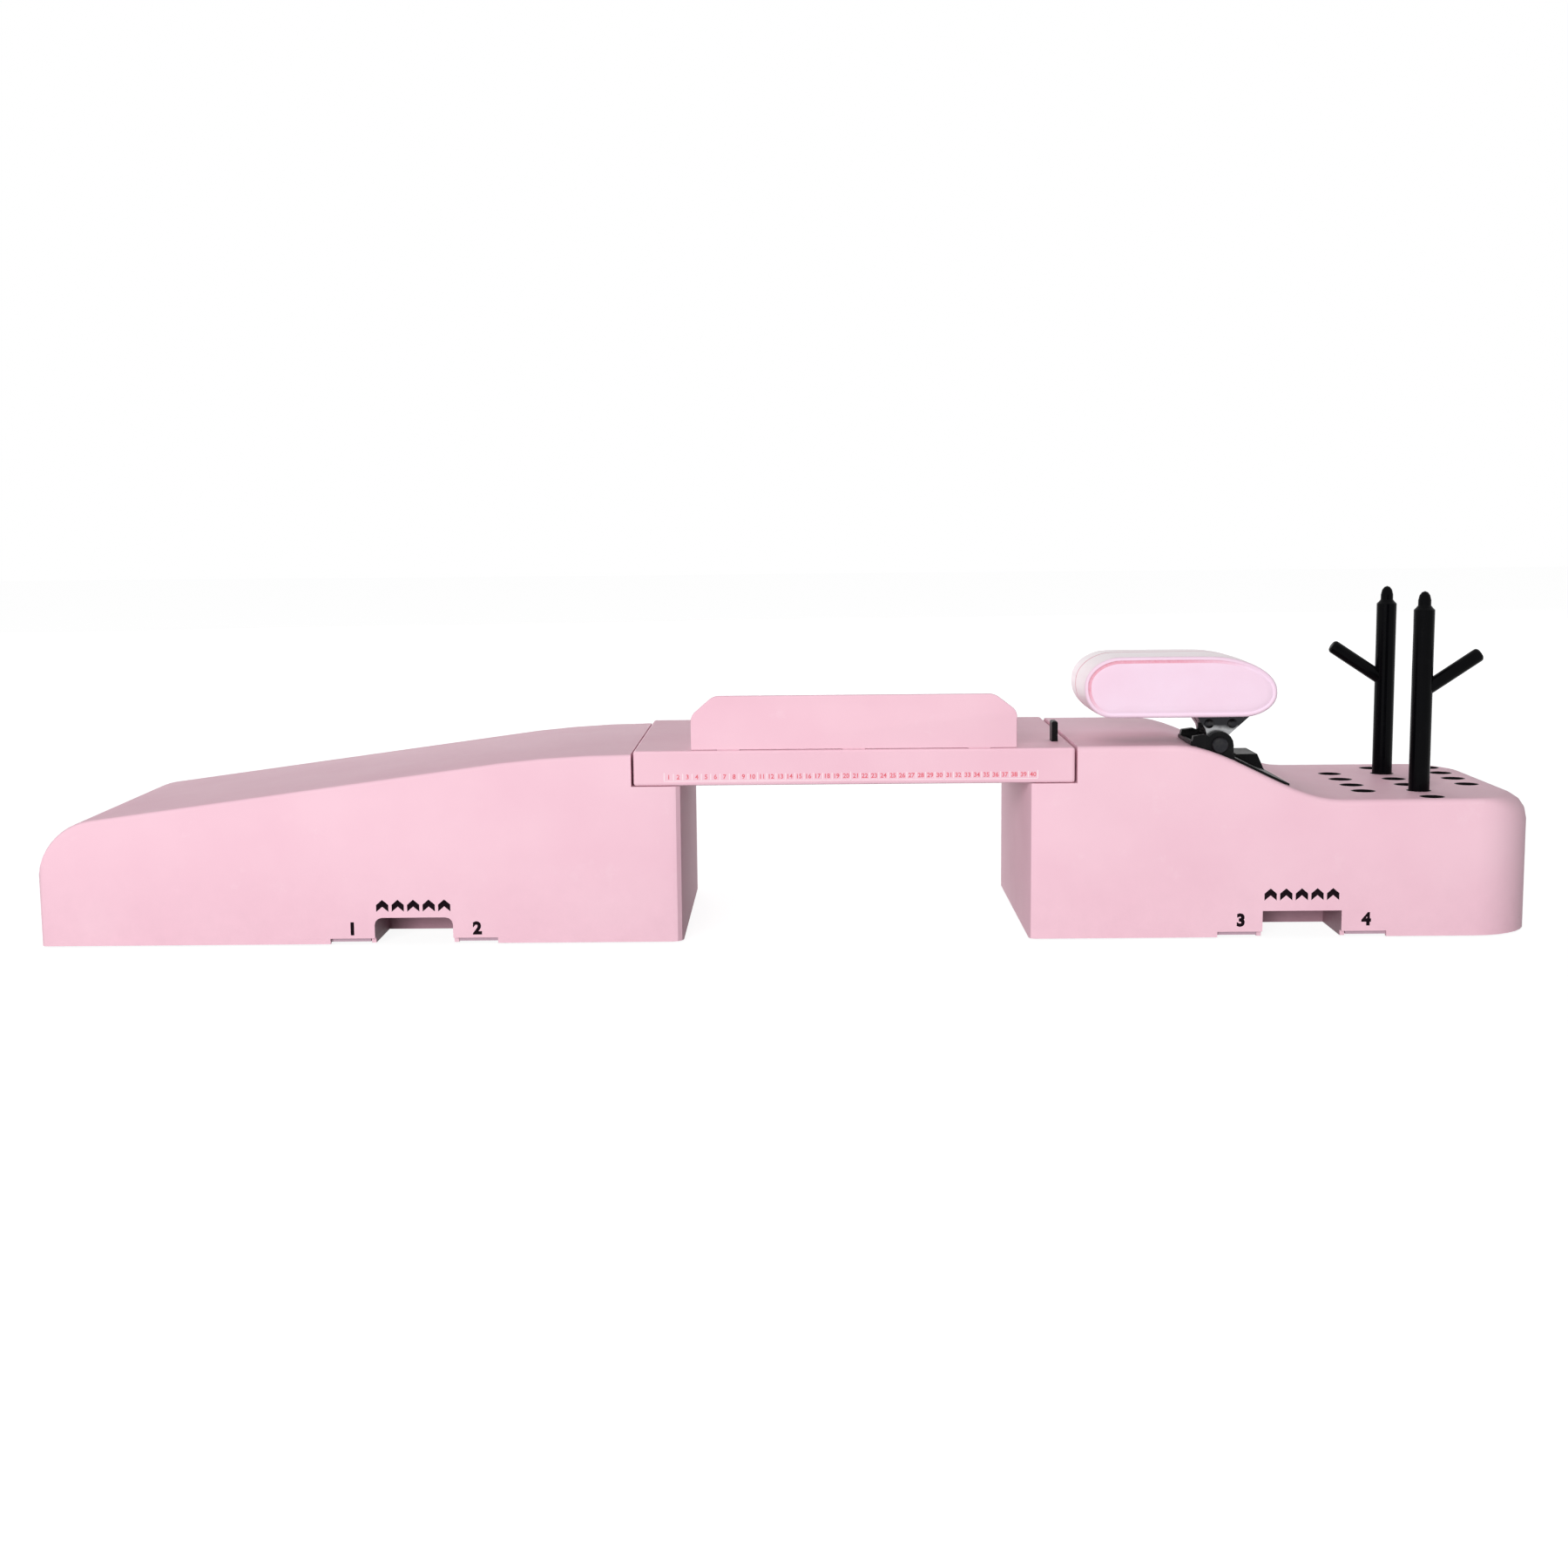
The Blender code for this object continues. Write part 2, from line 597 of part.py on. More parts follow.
# Pivot pin with a head and a retaining clip
pin_y0 = PIVOT.y - EAR_Y - EAR_T - GAP
pin_y1 = PIVOT.y + EAR_Y + EAR_T + 0.0034
bm = bmesh.new()
groove = pin_y1 - 0.0026
profile = (
    (0.0, pin_y0 - 0.0015), (PIN_R + 0.0008, pin_y0 - 0.0015), (PIN_R + 0.0014, pin_y0 - 0.0009),
    (PIN_R + 0.0014, pin_y0), (PIN_R, pin_y0), (PIN_R, groove), (PIN_R - 0.0008, groove),
    (PIN_R - 0.0008, groove + 0.0012), (PIN_R, groove + 0.0012), (PIN_R, pin_y1 - 0.0005), (PIN_R - 0.0005, pin_y1), (0.0, pin_y1),
)
chain = [bm.verts.new((PIVOT.x + r, y, PIVOT.z)) for r, y in profile]
edges = [bm.edges.new((a, b)) for a, b in zip(chain, chain[1:])]
bmesh.ops.spin(bm, geom=chain + edges, cent=(PIVOT.x, 0.0, PIVOT.z), axis=(0, 1, 0), angle=2 * math.pi, steps=20, use_merge=True)
bmesh.ops.remove_doubles(bm, verts=bm.verts, dist=0.00001)
bmesh.ops.recalc_face_normals(bm, faces=bm.faces)
pin = finish("pivot_pin", bm, steel)
bm = bmesh.new()
ring = []
for turn in spread(math.radians(-80), math.radians(200), 15):
    ring.append((math.cos(turn), math.sin(turn)))
inside = PIN_R - 0.0008 + GAP
outside = PIN_R + 0.0015
outline = [(PIVOT.x + outside * c, PIVOT.z + outside * s) for c, s in ring]
outline += [(PIVOT.x + inside * c, PIVOT.z + inside * s) for c, s in reversed(ring)]
prism(bm, outline, groove + 0.0002, groove + 0.0010)
clip = finish("pin_clip", bm, steel)

# Press lever: forked neck above the pin, stem and spring arm below it
neck_y0 = PIVOT.y - HUB_W / 2
neck_y1 = PIVOT.y + HUB_W / 2
bm = bmesh.new()
prism(bm, [(PIVOT.x - 0.0048, PIVOT.z), (PIVOT.x + 0.0048, PIVOT.z), (PIVOT.x + 0.0050, PIVOT.z + 0.0045),
           (PIVOT.x + 0.0165, NECK_TOP_Z), (PIVOT.x - 0.0115, NECK_TOP_Z), (PIVOT.x - 0.0070, PIVOT.z + 0.0085)],
      neck_y0, neck_y1)
lever = finish("press_lever", bm, steel)
hub = bmesh.new()
rod(hub, (PIVOT.x, neck_y0, PIVOT.z), (PIVOT.x, neck_y1, PIVOT.z), HUB_R, 24)
fuse(lever, hub)
arm = bmesh.new()
prism(arm, [(PIVOT.x - 0.0042, PIVOT.z), (SPRING_X - 0.0085 + 0.02, ARM_Z + 0.0075), (SPRING_X - 0.0085, ARM_Z + 0.0075),
            (SPRING_X - 0.0085, ARM_Z), (PIVOT.x - 0.0010, ARM_Z), (PIVOT.x + 0.0042, ARM_Z + 0.0085), (PIVOT.x + 0.0042, PIVOT.z)],
      PIVOT.y - 0.0080, PIVOT.y + 0.0080)
fuse(lever, arm)
fork = bmesh.new()
TONGUE_T = 0.003
TONGUE_H = 0.0075
box(fork, PIVOT.x - 0.03, PIVOT.x + 0.03, PIVOT.y - TONGUE_T / 2 - GAP, PIVOT.y + TONGUE_T / 2 + GAP,
    NECK_TOP_Z - TONGUE_H - GAP, NECK_TOP_Z + 0.01)
rod(fork, (PIVOT.x, neck_y0 - 0.01, PIVOT.z), (PIVOT.x, neck_y1 + 0.01, PIVOT.z), PIN_R + GAP, 20)
cut(lever, fork)
NECK_SCREWS = (PIVOT.x - 0.0050, PIVOT.x + 0.0075)
NECK_SCREW_Z = NECK_TOP_Z - 0.0036
screw_far = PIVOT.y + 0.0090
holes = bmesh.new()
for x in NECK_SCREWS:
    rod(holes, (x, neck_y0 - 0.01, NECK_SCREW_Z), (x, screw_far + GAP, NECK_SCREW_Z), SCREW_R + GAP, 12)
cut(lever, holes)

# Pad plate: plate in the pad's underside with a tongue held in the neck's fork
plate_x0 = PAD_X0 + 0.014
plate_x1 = PIVOT.x + 0.0180
plate_y = 0.015
bm = bmesh.new()
plate_z0 = NECK_TOP_Z + GAP
box(bm, plate_x0, plate_x1, PIVOT.y - plate_y, PIVOT.y + plate_y, plate_z0, plate_z0 + PLATE_T)
pad_plate = finish("pad_plate", bm, steel)
tongue = bmesh.new()
box(tongue, PIVOT.x - 0.0085, PIVOT.x + 0.0110, PIVOT.y - TONGUE_T / 2, PIVOT.y + TONGUE_T / 2,
    NECK_TOP_Z - TONGUE_H, plate_z0 + PLATE_T / 2)
fuse(pad_plate, tongue)
holes = bmesh.new()
for x in NECK_SCREWS:
    rod(holes, (x, PIVOT.y - 0.01, NECK_SCREW_Z), (x, PIVOT.y + 0.01, NECK_SCREW_Z), SCREW_R + GAP, 12)
cut(pad_plate, holes)
for number, x in enumerate(NECK_SCREWS, 1):
    bm = bmesh.new()
    profile = ((0.0, neck_y0 - 0.0014), (0.0012, neck_y0 - 0.0013), (0.0024, neck_y0 - 0.0007), (0.0026, neck_y0 - GAP),
               (SCREW_R, neck_y0 - GAP), (SCREW_R, screw_far), (0.0, screw_far))
    chain = [bm.verts.new((x + r, y, NECK_SCREW_Z)) for r, y in profile]
    edges = [bm.edges.new((a, b)) for a, b in zip(chain, chain[1:])]
    bmesh.ops.spin(bm, geom=chain + edges, cent=(x, 0.0, NECK_SCREW_Z), axis=(0, 1, 0), angle=2 * math.pi, steps=12,
                   use_merge=True)
    bmesh.ops.remove_doubles(bm, verts=bm.verts, dist=0.00001)
    bmesh.ops.recalc_face_normals(bm, faces=bm.faces)
    finish(f"neck_screw_{number}", bm, steel)


def pad_outline():
    """Side view of the palm pad: full left end, drooping right end."""
    corners = (
        (PAD_X0 + 0.0205, PAD_Z1 - 0.0165, -0.0205, 0.0165, math.pi),
        (PAD_X1 - 0.0380, PAD_Z0 + 0.0135, 0.0380, PAD_Z1 - PAD_Z0 - 0.0135, 0.0),
        (PAD_X1 - 0.0190, PAD_Z0 + 0.0135, 0.0190, -0.0135, 0.0),
        (PAD_X0 + 0.0155, PAD_Z1 - 0.0165, -0.0155, PAD_Z0 - PAD_Z1 + 0.0165, math.pi),
    )
    points = []
    for index, (cx, cz, a, b, _) in enumerate(corners):
        turns = spread(0.0, math.pi / 2, 8)
        if index in (1, 3):
            turns = turns[::-1]
        for turn in turns:
            point = (cx + a * math.cos(turn), cz + b * math.sin(turn))
            if not points or math.dist(points[-1], point) > 0.0001:
                points.append(point)
    if math.dist(points[0], points[-1]) < 0.0001:
        points.pop()
    return points


# Palm pad: pillow over the pad outline, with a pocket for its plate
outline = pad_outline()
mid_x = (PAD_X0 + PAD_X1) / 2
mid_z = (PAD_Z0 + PAD_Z1) / 2
roll = 0.0120
bm = bmesh.new()
rings = []
for turn in spread(0.0, math.pi / 2, 5):
    shrink = roll * (1 - math.sin(turn))
    ys_at = PAD_Y - PAD_D / 2 + roll * (1 - math.cos(turn))
    rings.append((ys_at, shrink))
rings += [(2 * PAD_Y - y, shrink) for y, shrink in reversed(rings)]
loops = []
for y, shrink in rings:
    kx = 1 - shrink / ((PAD_X1 - PAD_X0) / 2)
    kz = 1 - shrink / ((PAD_Z1 - PAD_Z0) / 2)
    loops.append([bm.verts.new((mid_x + (x - mid_x) * kx, y, mid_z + (z - mid_z) * kz)) for x, z in outline])
for a, b in zip(loops, loops[1:]):
    for i in range(len(outline)):
        j = (i + 1) % len(outline)
        bm.faces.new((a[i], a[j], b[j], b[i]))
bm.faces.new(loops[0])
bm.faces.new(loops[-1])
bmesh.ops.recalc_face_normals(bm, faces=bm.faces)
pad = finish("palm_pad", bm, pad_pink)
pocket = bmesh.new()
box(pocket, plate_x0 - GAP, plate_x1 + GAP, PIVOT.y - plate_y - GAP, PIVOT.y + plate_y + GAP,
    PAD_Z0 - 0.01, plate_z0 + PLATE_T + GAP)
cut(pad, pocket)

# Return spring between the base plate's spigot and the lever's arm
spring_z0 = PLATE_Z1 + GAP + SPRING_WIRE
spring_z1 = ARM_Z - GAP - SPRING_WIRE
curl = 10
path = bpy.data.curves.new("return_spring", "CURVE")
path.dimensions = "3D"
path.bevel_depth = SPRING_WIRE
path.bevel_resolution = 1
path.use_fill_caps = True
total = SPRING_TURNS * curl
line = path.splines.new("POLY")
line.points.add(total)
for i in range(total + 1):
    turn = 2 * math.pi * i / curl
    z = spring_z0 + (spring_z1 - spring_z0) * i / total
    line.points[i].co = (SPRING_X + SPRING_R * math.cos(turn), PIVOT.y + SPRING_R * math.sin(turn), z, 1.0)
spring = bpy.data.objects.new("return_spring", path)
bpy.context.scene.collection.objects.link(spring)
path.materials.append(steel)
print("spring gap to itself, mm:", round(((spring_z1 - spring_z0) / SPRING_TURNS - 2 * SPRING_WIRE) * 1000, 2))
spigot = bmesh.new()
rod(spigot, (SPRING_X, PIVOT.y, PLATE_Z1 - 0.001), (SPRING_X, PIVOT.y, PLATE_Z1 + 0.010), SPRING_R - SPRING_WIRE - 0.0006, 16)
fuse(right_plate, spigot)

# Bridge bed: ribbed tray, closed above, that drops into both rabbets
bm = bmesh.new()
bed_z0 = BED_TOP - BED_T
box(bm, BED_X0, BED_X1, FRONT, BACK, bed_z0, BED_TOP)
bmesh.ops.bevel(bm, geom=bm.edges[:], offset=0.0014, segments=2, profile=0.5, affect="EDGES")
bed = finish("bridge_bed", bm, pink_bed)
hollow = bmesh.new()
bay_x0 = LEFT_INNER + 0.006
bay_x1 = RIGHT_INNER - 0.012
bays = 4
rib = 0.0022
bay = (bay_x1 - bay_x0 - rib * (bays - 1)) / bays
for i in range(bays):
    x = bay_x0 + i * (bay + rib)
    box(hollow, x, x + bay, FRONT + 0.010, BACK - 0.004, bed_z0 - 0.005, BED_TOP - 0.0032)
fence_mid = (FENCE_X0 + FENCE_X1) / 2
TABS = (FENCE_X0 + 0.020, fence_mid, FENCE_X1 - 0.020)
for x in TABS:
    box(hollow, x - TAB_W / 2 - GAP, x + TAB_W / 2 + GAP, FRONT + 0.0012 - GAP, FRONT + 0.0012 + FENCE_T + GAP,
        BED_TOP - TAB_H - GAP, BED_TOP + 0.005)
box(hollow, LATCH_X - 0.0016 - GAP, LATCH_X + 0.0016 + GAP, LATCH_Y - 0.005 - GAP, LATCH_Y + 0.005 + GAP,
    BED_TOP - 0.012 - GAP, BED_TOP + 0.005)
cut(bed, hollow)

# Fence: thin upright plate with rounded top corners and three tabs
fence_y0 = FRONT + 0.0012
fence_z0 = BED_TOP + GAP
fence_z1 = BED_TOP + FENCE_H
outline = [(FENCE_X0, fence_z0), (FENCE_X1, fence_z0)]
for turn in spread(0.0, math.pi / 2, 7):
    outline.append((FENCE_X1 - FENCE_CORNER * (1 - math.cos(turn)), fence_z1 - FENCE_CORNER * (1 - math.sin(turn))))
for turn in spread(math.pi / 2, math.pi, 7):
    outline.append((FENCE_X0 + FENCE_CORNER * (1 + math.cos(turn)), fence_z1 - FENCE_CORNER * (1 - math.sin(turn))))
bm = bmesh.new()
prism(bm, outline, fence_y0, fence_y0 + FENCE_T)
rim = [e for e in bm.edges if len(e.link_faces) == 2 and e.calc_face_angle() > 1.2
       and min(v.co.z for v in e.verts) > fence_z0 + 0.0001]
bmesh.ops.bevel(bm, geom=rim, offset=0.0007, segments=2, profile=0.5, affect="EDGES")
fence = finish("fence", bm, pink_bed)
for x in TABS:
    tab = bmesh.new()
    box(tab, x - TAB_W / 2, x + TAB_W / 2, fence_y0, fence_y0 + FENCE_T, BED_TOP - TAB_H, fence_z0 + 0.004)
    fuse(fence, tab)

# Latch: upright thumb tab in the bed's right end, and a hook under the bed
bm = bmesh.new()
box(bm, LATCH_X - 0.0016, LATCH_X + 0.0016, LATCH_Y - 0.005, LATCH_Y + 0.005, BED_TOP - 0.012, BED_TOP + LATCH_H)
bmesh.ops.bevel(bm, geom=[e for e in bm.edges if min(v.co.z for v in e.verts) > BED_TOP], offset=0.0008, segments=2,
                profile=0.5, affect="EDGES")
latch = finish("latch_tab", bm, black)
hook_x1 = RIGHT_INNER - 0.0006
bm = bmesh.new()
prism(bm, [(hook_x1 - 0.009, bed_z0 - GAP), (hook_x1, bed_z0 - GAP), (hook_x1, bed_z0 - 0.0080), (hook_x1 - 0.0012, bed_z0 - 0.0095),
           (hook_x1 - 0.0034, bed_z0 - 0.0095), (hook_x1 - 0.0034, bed_z0 - 0.0030), (hook_x1 - 0.009, bed_z0 - 0.0030)],
      BACK - 0.052, BACK - 0.040)
hook = finish("latch_hook", bm, black)


def peg(name, x, y, way):
    """Y-shaped hanger peg that stands in a socket; its branch leans towards way (+1 or -1)."""
    foot_z = SOCKET_TOP - SOCKET_D + GAP
    top_z = DECK_Z + PEG_H
    shoulder = top_z - PEG_TIP_H
    profile = (
        (0.0, top_z), (PEG_TIP_R * 0.45, top_z - 0.0006), (PEG_TIP_R * 0.8, top_z - 0.0022), (PEG_TIP_R, top_z - 0.0050),
        (PEG_TIP_R, shoulder + 0.0012), (PEG_R - 0.0012, shoulder), (PEG_R, shoulder - 0.0012), (PEG_R, foot_z + 0.001),
        (PEG_R - 0.001, foot_z), (0.0, foot_z),
    )
    bm = bmesh.new()
    turned(bm, profile, (x, y, 0.0), 24)
    body = finish(name, bm, peg_black)
    lean = Vector((way * math.cos(BRANCH_RISE), 0.0, math.sin(BRANCH_RISE)))
    start = Vector((x, y, DECK_Z + BRANCH_Z)) - lean * 0.001
    end = Vector((x, y, DECK_Z + BRANCH_Z)) + lean * (BRANCH_L + PEG_R - BRANCH_R * 0.5)
    branch = bmesh.new()
    rod(branch, start, end, BRANCH_R, 16)
    tip = max(branch.faces, key=lambda f: f.calc_center_median().dot(lean))
    bmesh.ops.bevel(branch, geom=list(tip.edges), offset=BRANCH_R * 0.5, segments=3, profile=0.5, affect="EDGES")
    fuse(body, branch)
    return body


peg_front = peg("peg_front", COLUMN_X[1], ROW_FIRST + ROW_PITCH, 1)
peg_rear = peg("peg_rear", COLUMN_X[1], ROW_FIRST + ROW_PITCH * 4, -1)


def hang(parent_name, origin, children):
    """Parent empty on a joint's axis that carries the pieces of one moving body."""
    pivot = bpy.data.objects.new(parent_name, None)
    bpy.context.scene.collection.objects.link(pivot)
    pivot.location = origin
    bpy.context.view_layer.update()
    for child in children:
        child.parent = pivot
        child.matrix_parent_inverse = pivot.matrix_world.inverted()


hang("lever_axis", PIVOT, [lever, pad_plate, pad] + [bpy.data.objects[f"neck_screw_{n}"] for n in (1, 2)])
hang("bridge_axis", ((BED_X0 + BED_X1) / 2, 0.0, bed_z0), [bed, fence, latch, hook])
hang("peg_front_axis", (COLUMN_X[1], ROW_FIRST + ROW_PITCH, DECK_Z), [peg_front])
hang("peg_rear_axis", (COLUMN_X[1], ROW_FIRST + ROW_PITCH * 4, DECK_Z), [peg_rear])

# The machine is modelled about the bridge and then centred in plan on the origin
for obj in bpy.context.scene.objects:
    if obj.parent is None:
        obj.location.x -= CENTRE_X
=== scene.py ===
# %% [markdown]
# # A tabletop palm press, dressed for its portrait
# The press is two hollow pink mouldings joined by a loose bridge bed, with a sprung lever, a soft palm
# pad and a deck that holds tools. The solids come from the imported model, so this lesson only adds looks:
# a camera, light, finishes and the small pieces that a solid model leaves out.

import json
import math

import bmesh
import bpy
from mathutils import Matrix, Vector

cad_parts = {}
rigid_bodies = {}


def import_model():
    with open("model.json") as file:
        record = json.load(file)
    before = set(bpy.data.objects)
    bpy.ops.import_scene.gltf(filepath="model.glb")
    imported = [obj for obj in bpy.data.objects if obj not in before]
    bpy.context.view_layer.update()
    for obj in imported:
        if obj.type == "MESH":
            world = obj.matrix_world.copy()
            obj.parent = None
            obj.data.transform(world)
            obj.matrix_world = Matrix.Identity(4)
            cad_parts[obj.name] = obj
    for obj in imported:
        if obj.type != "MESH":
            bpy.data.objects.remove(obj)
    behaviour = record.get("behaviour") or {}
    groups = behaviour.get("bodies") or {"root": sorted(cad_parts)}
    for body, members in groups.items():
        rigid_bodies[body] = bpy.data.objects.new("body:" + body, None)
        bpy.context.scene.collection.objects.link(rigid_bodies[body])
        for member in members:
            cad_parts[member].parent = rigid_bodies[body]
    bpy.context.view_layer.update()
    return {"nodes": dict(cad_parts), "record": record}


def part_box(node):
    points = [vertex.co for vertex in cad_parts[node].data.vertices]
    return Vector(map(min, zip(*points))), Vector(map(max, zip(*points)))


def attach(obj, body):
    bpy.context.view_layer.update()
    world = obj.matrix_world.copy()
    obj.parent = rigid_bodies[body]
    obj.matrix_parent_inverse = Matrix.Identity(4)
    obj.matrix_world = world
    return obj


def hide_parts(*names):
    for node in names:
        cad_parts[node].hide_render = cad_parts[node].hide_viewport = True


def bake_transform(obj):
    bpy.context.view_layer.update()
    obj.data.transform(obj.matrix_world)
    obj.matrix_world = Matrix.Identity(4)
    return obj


for old in list(bpy.data.objects):
    bpy.data.objects.remove(old, do_unlink=True)
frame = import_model()
nodes = frame["nodes"]

# %% [markdown]
# ## Camera
# The photograph looks at the long front from a little above, with a normal lens some way off, so the tops
# show as narrow bands. The place was found by matching corners of the front, the tops and the pegs.
# A matrix built from the view's own axes is easier to reason about than three Euler angles.

# %% Camera
CAMERA_PLACE = Vector((0.0082, -1.1781, 0.2345))
CAMERA_YAW = -0.0091
CAMERA_PITCH = 0.1340
CAMERA_ROLL = -0.0096
LENS_MM = 47.44
SENSOR_MM = 36.0

forward = Vector((
    math.sin(CAMERA_YAW) * math.cos(CAMERA_PITCH),
    math.cos(CAMERA_YAW) * math.cos(CAMERA_PITCH),
    -math.sin(CAMERA_PITCH),
))
level = Vector((math.cos(CAMERA_YAW), -math.sin(CAMERA_YAW), 0.0))
above = level.cross(forward)
right = level * math.cos(CAMERA_ROLL) + above * math.sin(CAMERA_ROLL)
up = above * math.cos(CAMERA_ROLL) - level * math.sin(CAMERA_ROLL)
camera = bpy.data.objects.new("camera", bpy.data.cameras.new("camera"))
bpy.context.scene.collection.objects.link(camera)
camera.matrix_world = Matrix.Translation(CAMERA_PLACE) @ Matrix((right, up, -forward)).transposed().to_4x4()
camera.data.lens = LENS_MM
camera.data.sensor_width = SENSOR_MM
bpy.context.scene.camera = camera
print("camera at", [round(v, 3) for v in camera.location])

# %% [markdown]
# ## Node helpers
# Every finish below is a small graph: coordinates feed noises, and the noises steer colour, roughness and
# bump. Object coordinates are in metres here, so a noise scale of 1000 gives specks of about a millimetre.

# %% Node helpers


def graph(name):
    """A new material, its node tree and its surface shader."""
    material = bpy.data.materials.new(name)
    material.use_nodes = True
    tree = material.node_tree
    return material, tree, tree.nodes["Principled BSDF"]


def place(tree, kind, **sockets):
    """Adds one node and sets or links its input sockets."""
    node = tree.nodes.new(kind)
    for key, value in sockets.items():
        socket = node.inputs[int(key[1:])] if key[0] == "i" and key[1:].isdigit() else node.inputs[key]
        if isinstance(value, bpy.types.NodeSocket):
            tree.links.new(value, socket)
        else:
            socket.default_value = value
    return node


def coordinates(tree, stretch=(1, 1, 1)):
    """Object coordinates, stretched along an axis where a finish has a direction."""
    texture = tree.nodes.new("ShaderNodeTexCoord")
    return place(tree, "ShaderNodeMapping", Vector=texture.outputs["Object"], Scale=stretch).outputs["Vector"]


def noise(tree, where, scale, detail=3.0, rough=0.55):
    """A grey noise of the given scale."""
    node = place(tree, "ShaderNodeTexNoise", Vector=where, Scale=scale, Detail=detail, Roughness=rough)
    return node.outputs["Fac"]


def steer(tree, value, low, high, to_low, to_high):
    """Maps a grey value from one range to another."""
    node = tree.nodes.new("ShaderNodeMapRange")
    tree.links.new(value, node.inputs[0])
    for index, number in enumerate((low, high, to_low, to_high), 1):
        node.inputs[index].default_value = number
    return node.outputs[0]


def tint(tree, amount, first, second):
    """Mixes two colours by a grey value."""
    node = tree.nodes.new("ShaderNodeMix")
    node.data_type = "RGBA"
    tree.links.new(amount, node.inputs[0])
    for socket, colour in ((node.inputs[6], first), (node.inputs[7], second)):
        if isinstance(colour, bpy.types.NodeSocket):
            tree.links.new(colour, socket)
        else:
            socket.default_value = (*colour, 1.0)
    return node.outputs[2]


def relief(tree, shader, height, depth, strength=1.0):
    """Turns a grey height into bump of the given depth in metres."""
    bump = place(tree, "ShaderNodeBump", Height=height, Distance=depth, Strength=strength)
    tree.links.new(bump.outputs["Normal"], shader.inputs["Normal"])


print("helpers ready")

# %% [markdown]
# ## Pink moulded plastic
# The two pedestals and the bed are satin ABS: a fine spark-eroded grain, faint clouds of colour from the
# melt, and duller skin where hands rub. A painted texture would do, but noises in metres stay sharp at any
# distance, so the grain is a fine noise in bump, and the clouds and rub marks are broad ones.

# %% Pink moulded plastic
PINK = (0.875, 0.575, 0.665)
PINK_DEEP = (0.845, 0.535, 0.630)
PINK_RUB = (0.900, 0.640, 0.715)
FOOT_SHADE = (0.640, 0.400, 0.470)
BED_PINK = (0.870, 0.560, 0.650)
BED_DEEP = (0.840, 0.520, 0.615)
# The notch-wall colours below are painted shade: a dark mauve that stands for the shade in the deep finger
# notches.
POCKET_PAINTED_SHADE = (0.370, 0.215, 0.260)
POCKET_PAINTED_SHADE_DEEP = (0.310, 0.170, 0.210)
POCKET_PAINTED_SHADE_RUB = (0.430, 0.265, 0.310)
GRAIN_DEPTH = 0.00006
PINK_SHINE = 0.18


def moulded_pink(name, base, deep, rub, grain, shade_height):
    """Satin moulding with grain, clouds, rubbed patches and a painted shade that darkens it towards the
    table.
    """
    material, tree, shader = graph(name)
    where = coordinates(tree)
    clouds = steer(tree, noise(tree, where, 14.0), 0.35, 0.65, 0.0, 1.0)
    colour = tint(tree, clouds, base, deep)
    patches = steer(tree, noise(tree, where, 38.0, 6.0, 0.7), 0.60, 0.74, 0.0, 0.45)
    colour = tint(tree, patches, colour, rub)
    specks = steer(tree, noise(tree, where, 1400.0, 2.0), 0.66, 0.76, 0.0, 0.22)
    colour = tint(tree, specks, colour, deep)
    # Painted shade: the colour darkens towards the table over the given height, mottled by a noise.
    height = place(tree, "ShaderNodeSeparateXYZ", Vector=where).outputs["Z"]
    painted_low_shade = steer(tree, height, 0.0, shade_height, 0.45, 0.0)
    painted_low_shade = place(tree, "ShaderNodeMath", i0=painted_low_shade, i1=noise(tree, where, 120.0, 5.0, 0.7))
    painted_low_shade.operation = "MULTIPLY"
    colour = tint(tree, painted_low_shade.outputs[0], colour, FOOT_SHADE)
    tree.links.new(colour, shader.inputs["Base Color"])
    scuffs = noise(tree, coordinates(tree, (18.0, 90.0, 60.0)), 9.0, 5.0, 0.65)
    tree.links.new(steer(tree, scuffs, 0.35, 0.70, 0.46, 0.60), shader.inputs["Roughness"])
    relief(tree, shader, noise(tree, where, grain, 2.0), GRAIN_DEPTH, 0.55)
    shader.inputs["Specular IOR Level"].default_value = PINK_SHINE
    return material


pink_body = moulded_pink("pink_body", PINK, PINK_DEEP, PINK_RUB, grain=1500.0, shade_height=0.055)
pink_bed = moulded_pink("pink_bed", BED_PINK, BED_DEEP, PINK_RUB, grain=1700.0, shade_height=0.0)
# Painted shade for the walls of the finger notches.
pocket_painted_shade = moulded_pink(
    "pocket_painted_shade", POCKET_PAINTED_SHADE, POCKET_PAINTED_SHADE_DEEP, POCKET_PAINTED_SHADE_RUB, grain=900.0, shade_height=0.010)
print("pink finishes:", pink_body.name, pink_bed.name, pocket_painted_shade.name)

# %% [markdown]
# ## Black plastics, rubber and steel
# The bracket and socket are dull black with a coarse grain, the pegs are polished, and the closing plates are
# mauve. Steel shows fine drawn lines along the part: one noise, with one or two of its axes scaled thirty or
# forty times, makes them.

# %% Black plastics, rubber and steel
DULL_SHINE = 0.10
PEG_SHINE = 0.05
PLATE_SHINE = 0.20
LINE_DEPTH = 0.00003


def dark_moulding(name, base, worn, grain, depth, rough_low, rough_high, shine=DULL_SHINE):
    """Black plastic or rubber with grain, dust in patches and uneven gloss."""
    material, tree, shader = graph(name)
    where = coordinates(tree)
    dust = steer(tree, noise(tree, where, 160.0, 6.0, 0.7), 0.52, 0.80, 0.0, 0.65)
    tree.links.new(tint(tree, dust, base, worn), shader.inputs["Base Color"])
    gloss = noise(tree, where, 70.0, 4.0)
    tree.links.new(steer(tree, gloss, 0.3, 0.7, rough_low, rough_high), shader.inputs["Roughness"])
    relief(tree, shader, noise(tree, where, grain, 3.0, 0.6), depth, 0.8)
    shader.inputs["Specular IOR Level"].default_value = shine
    return material


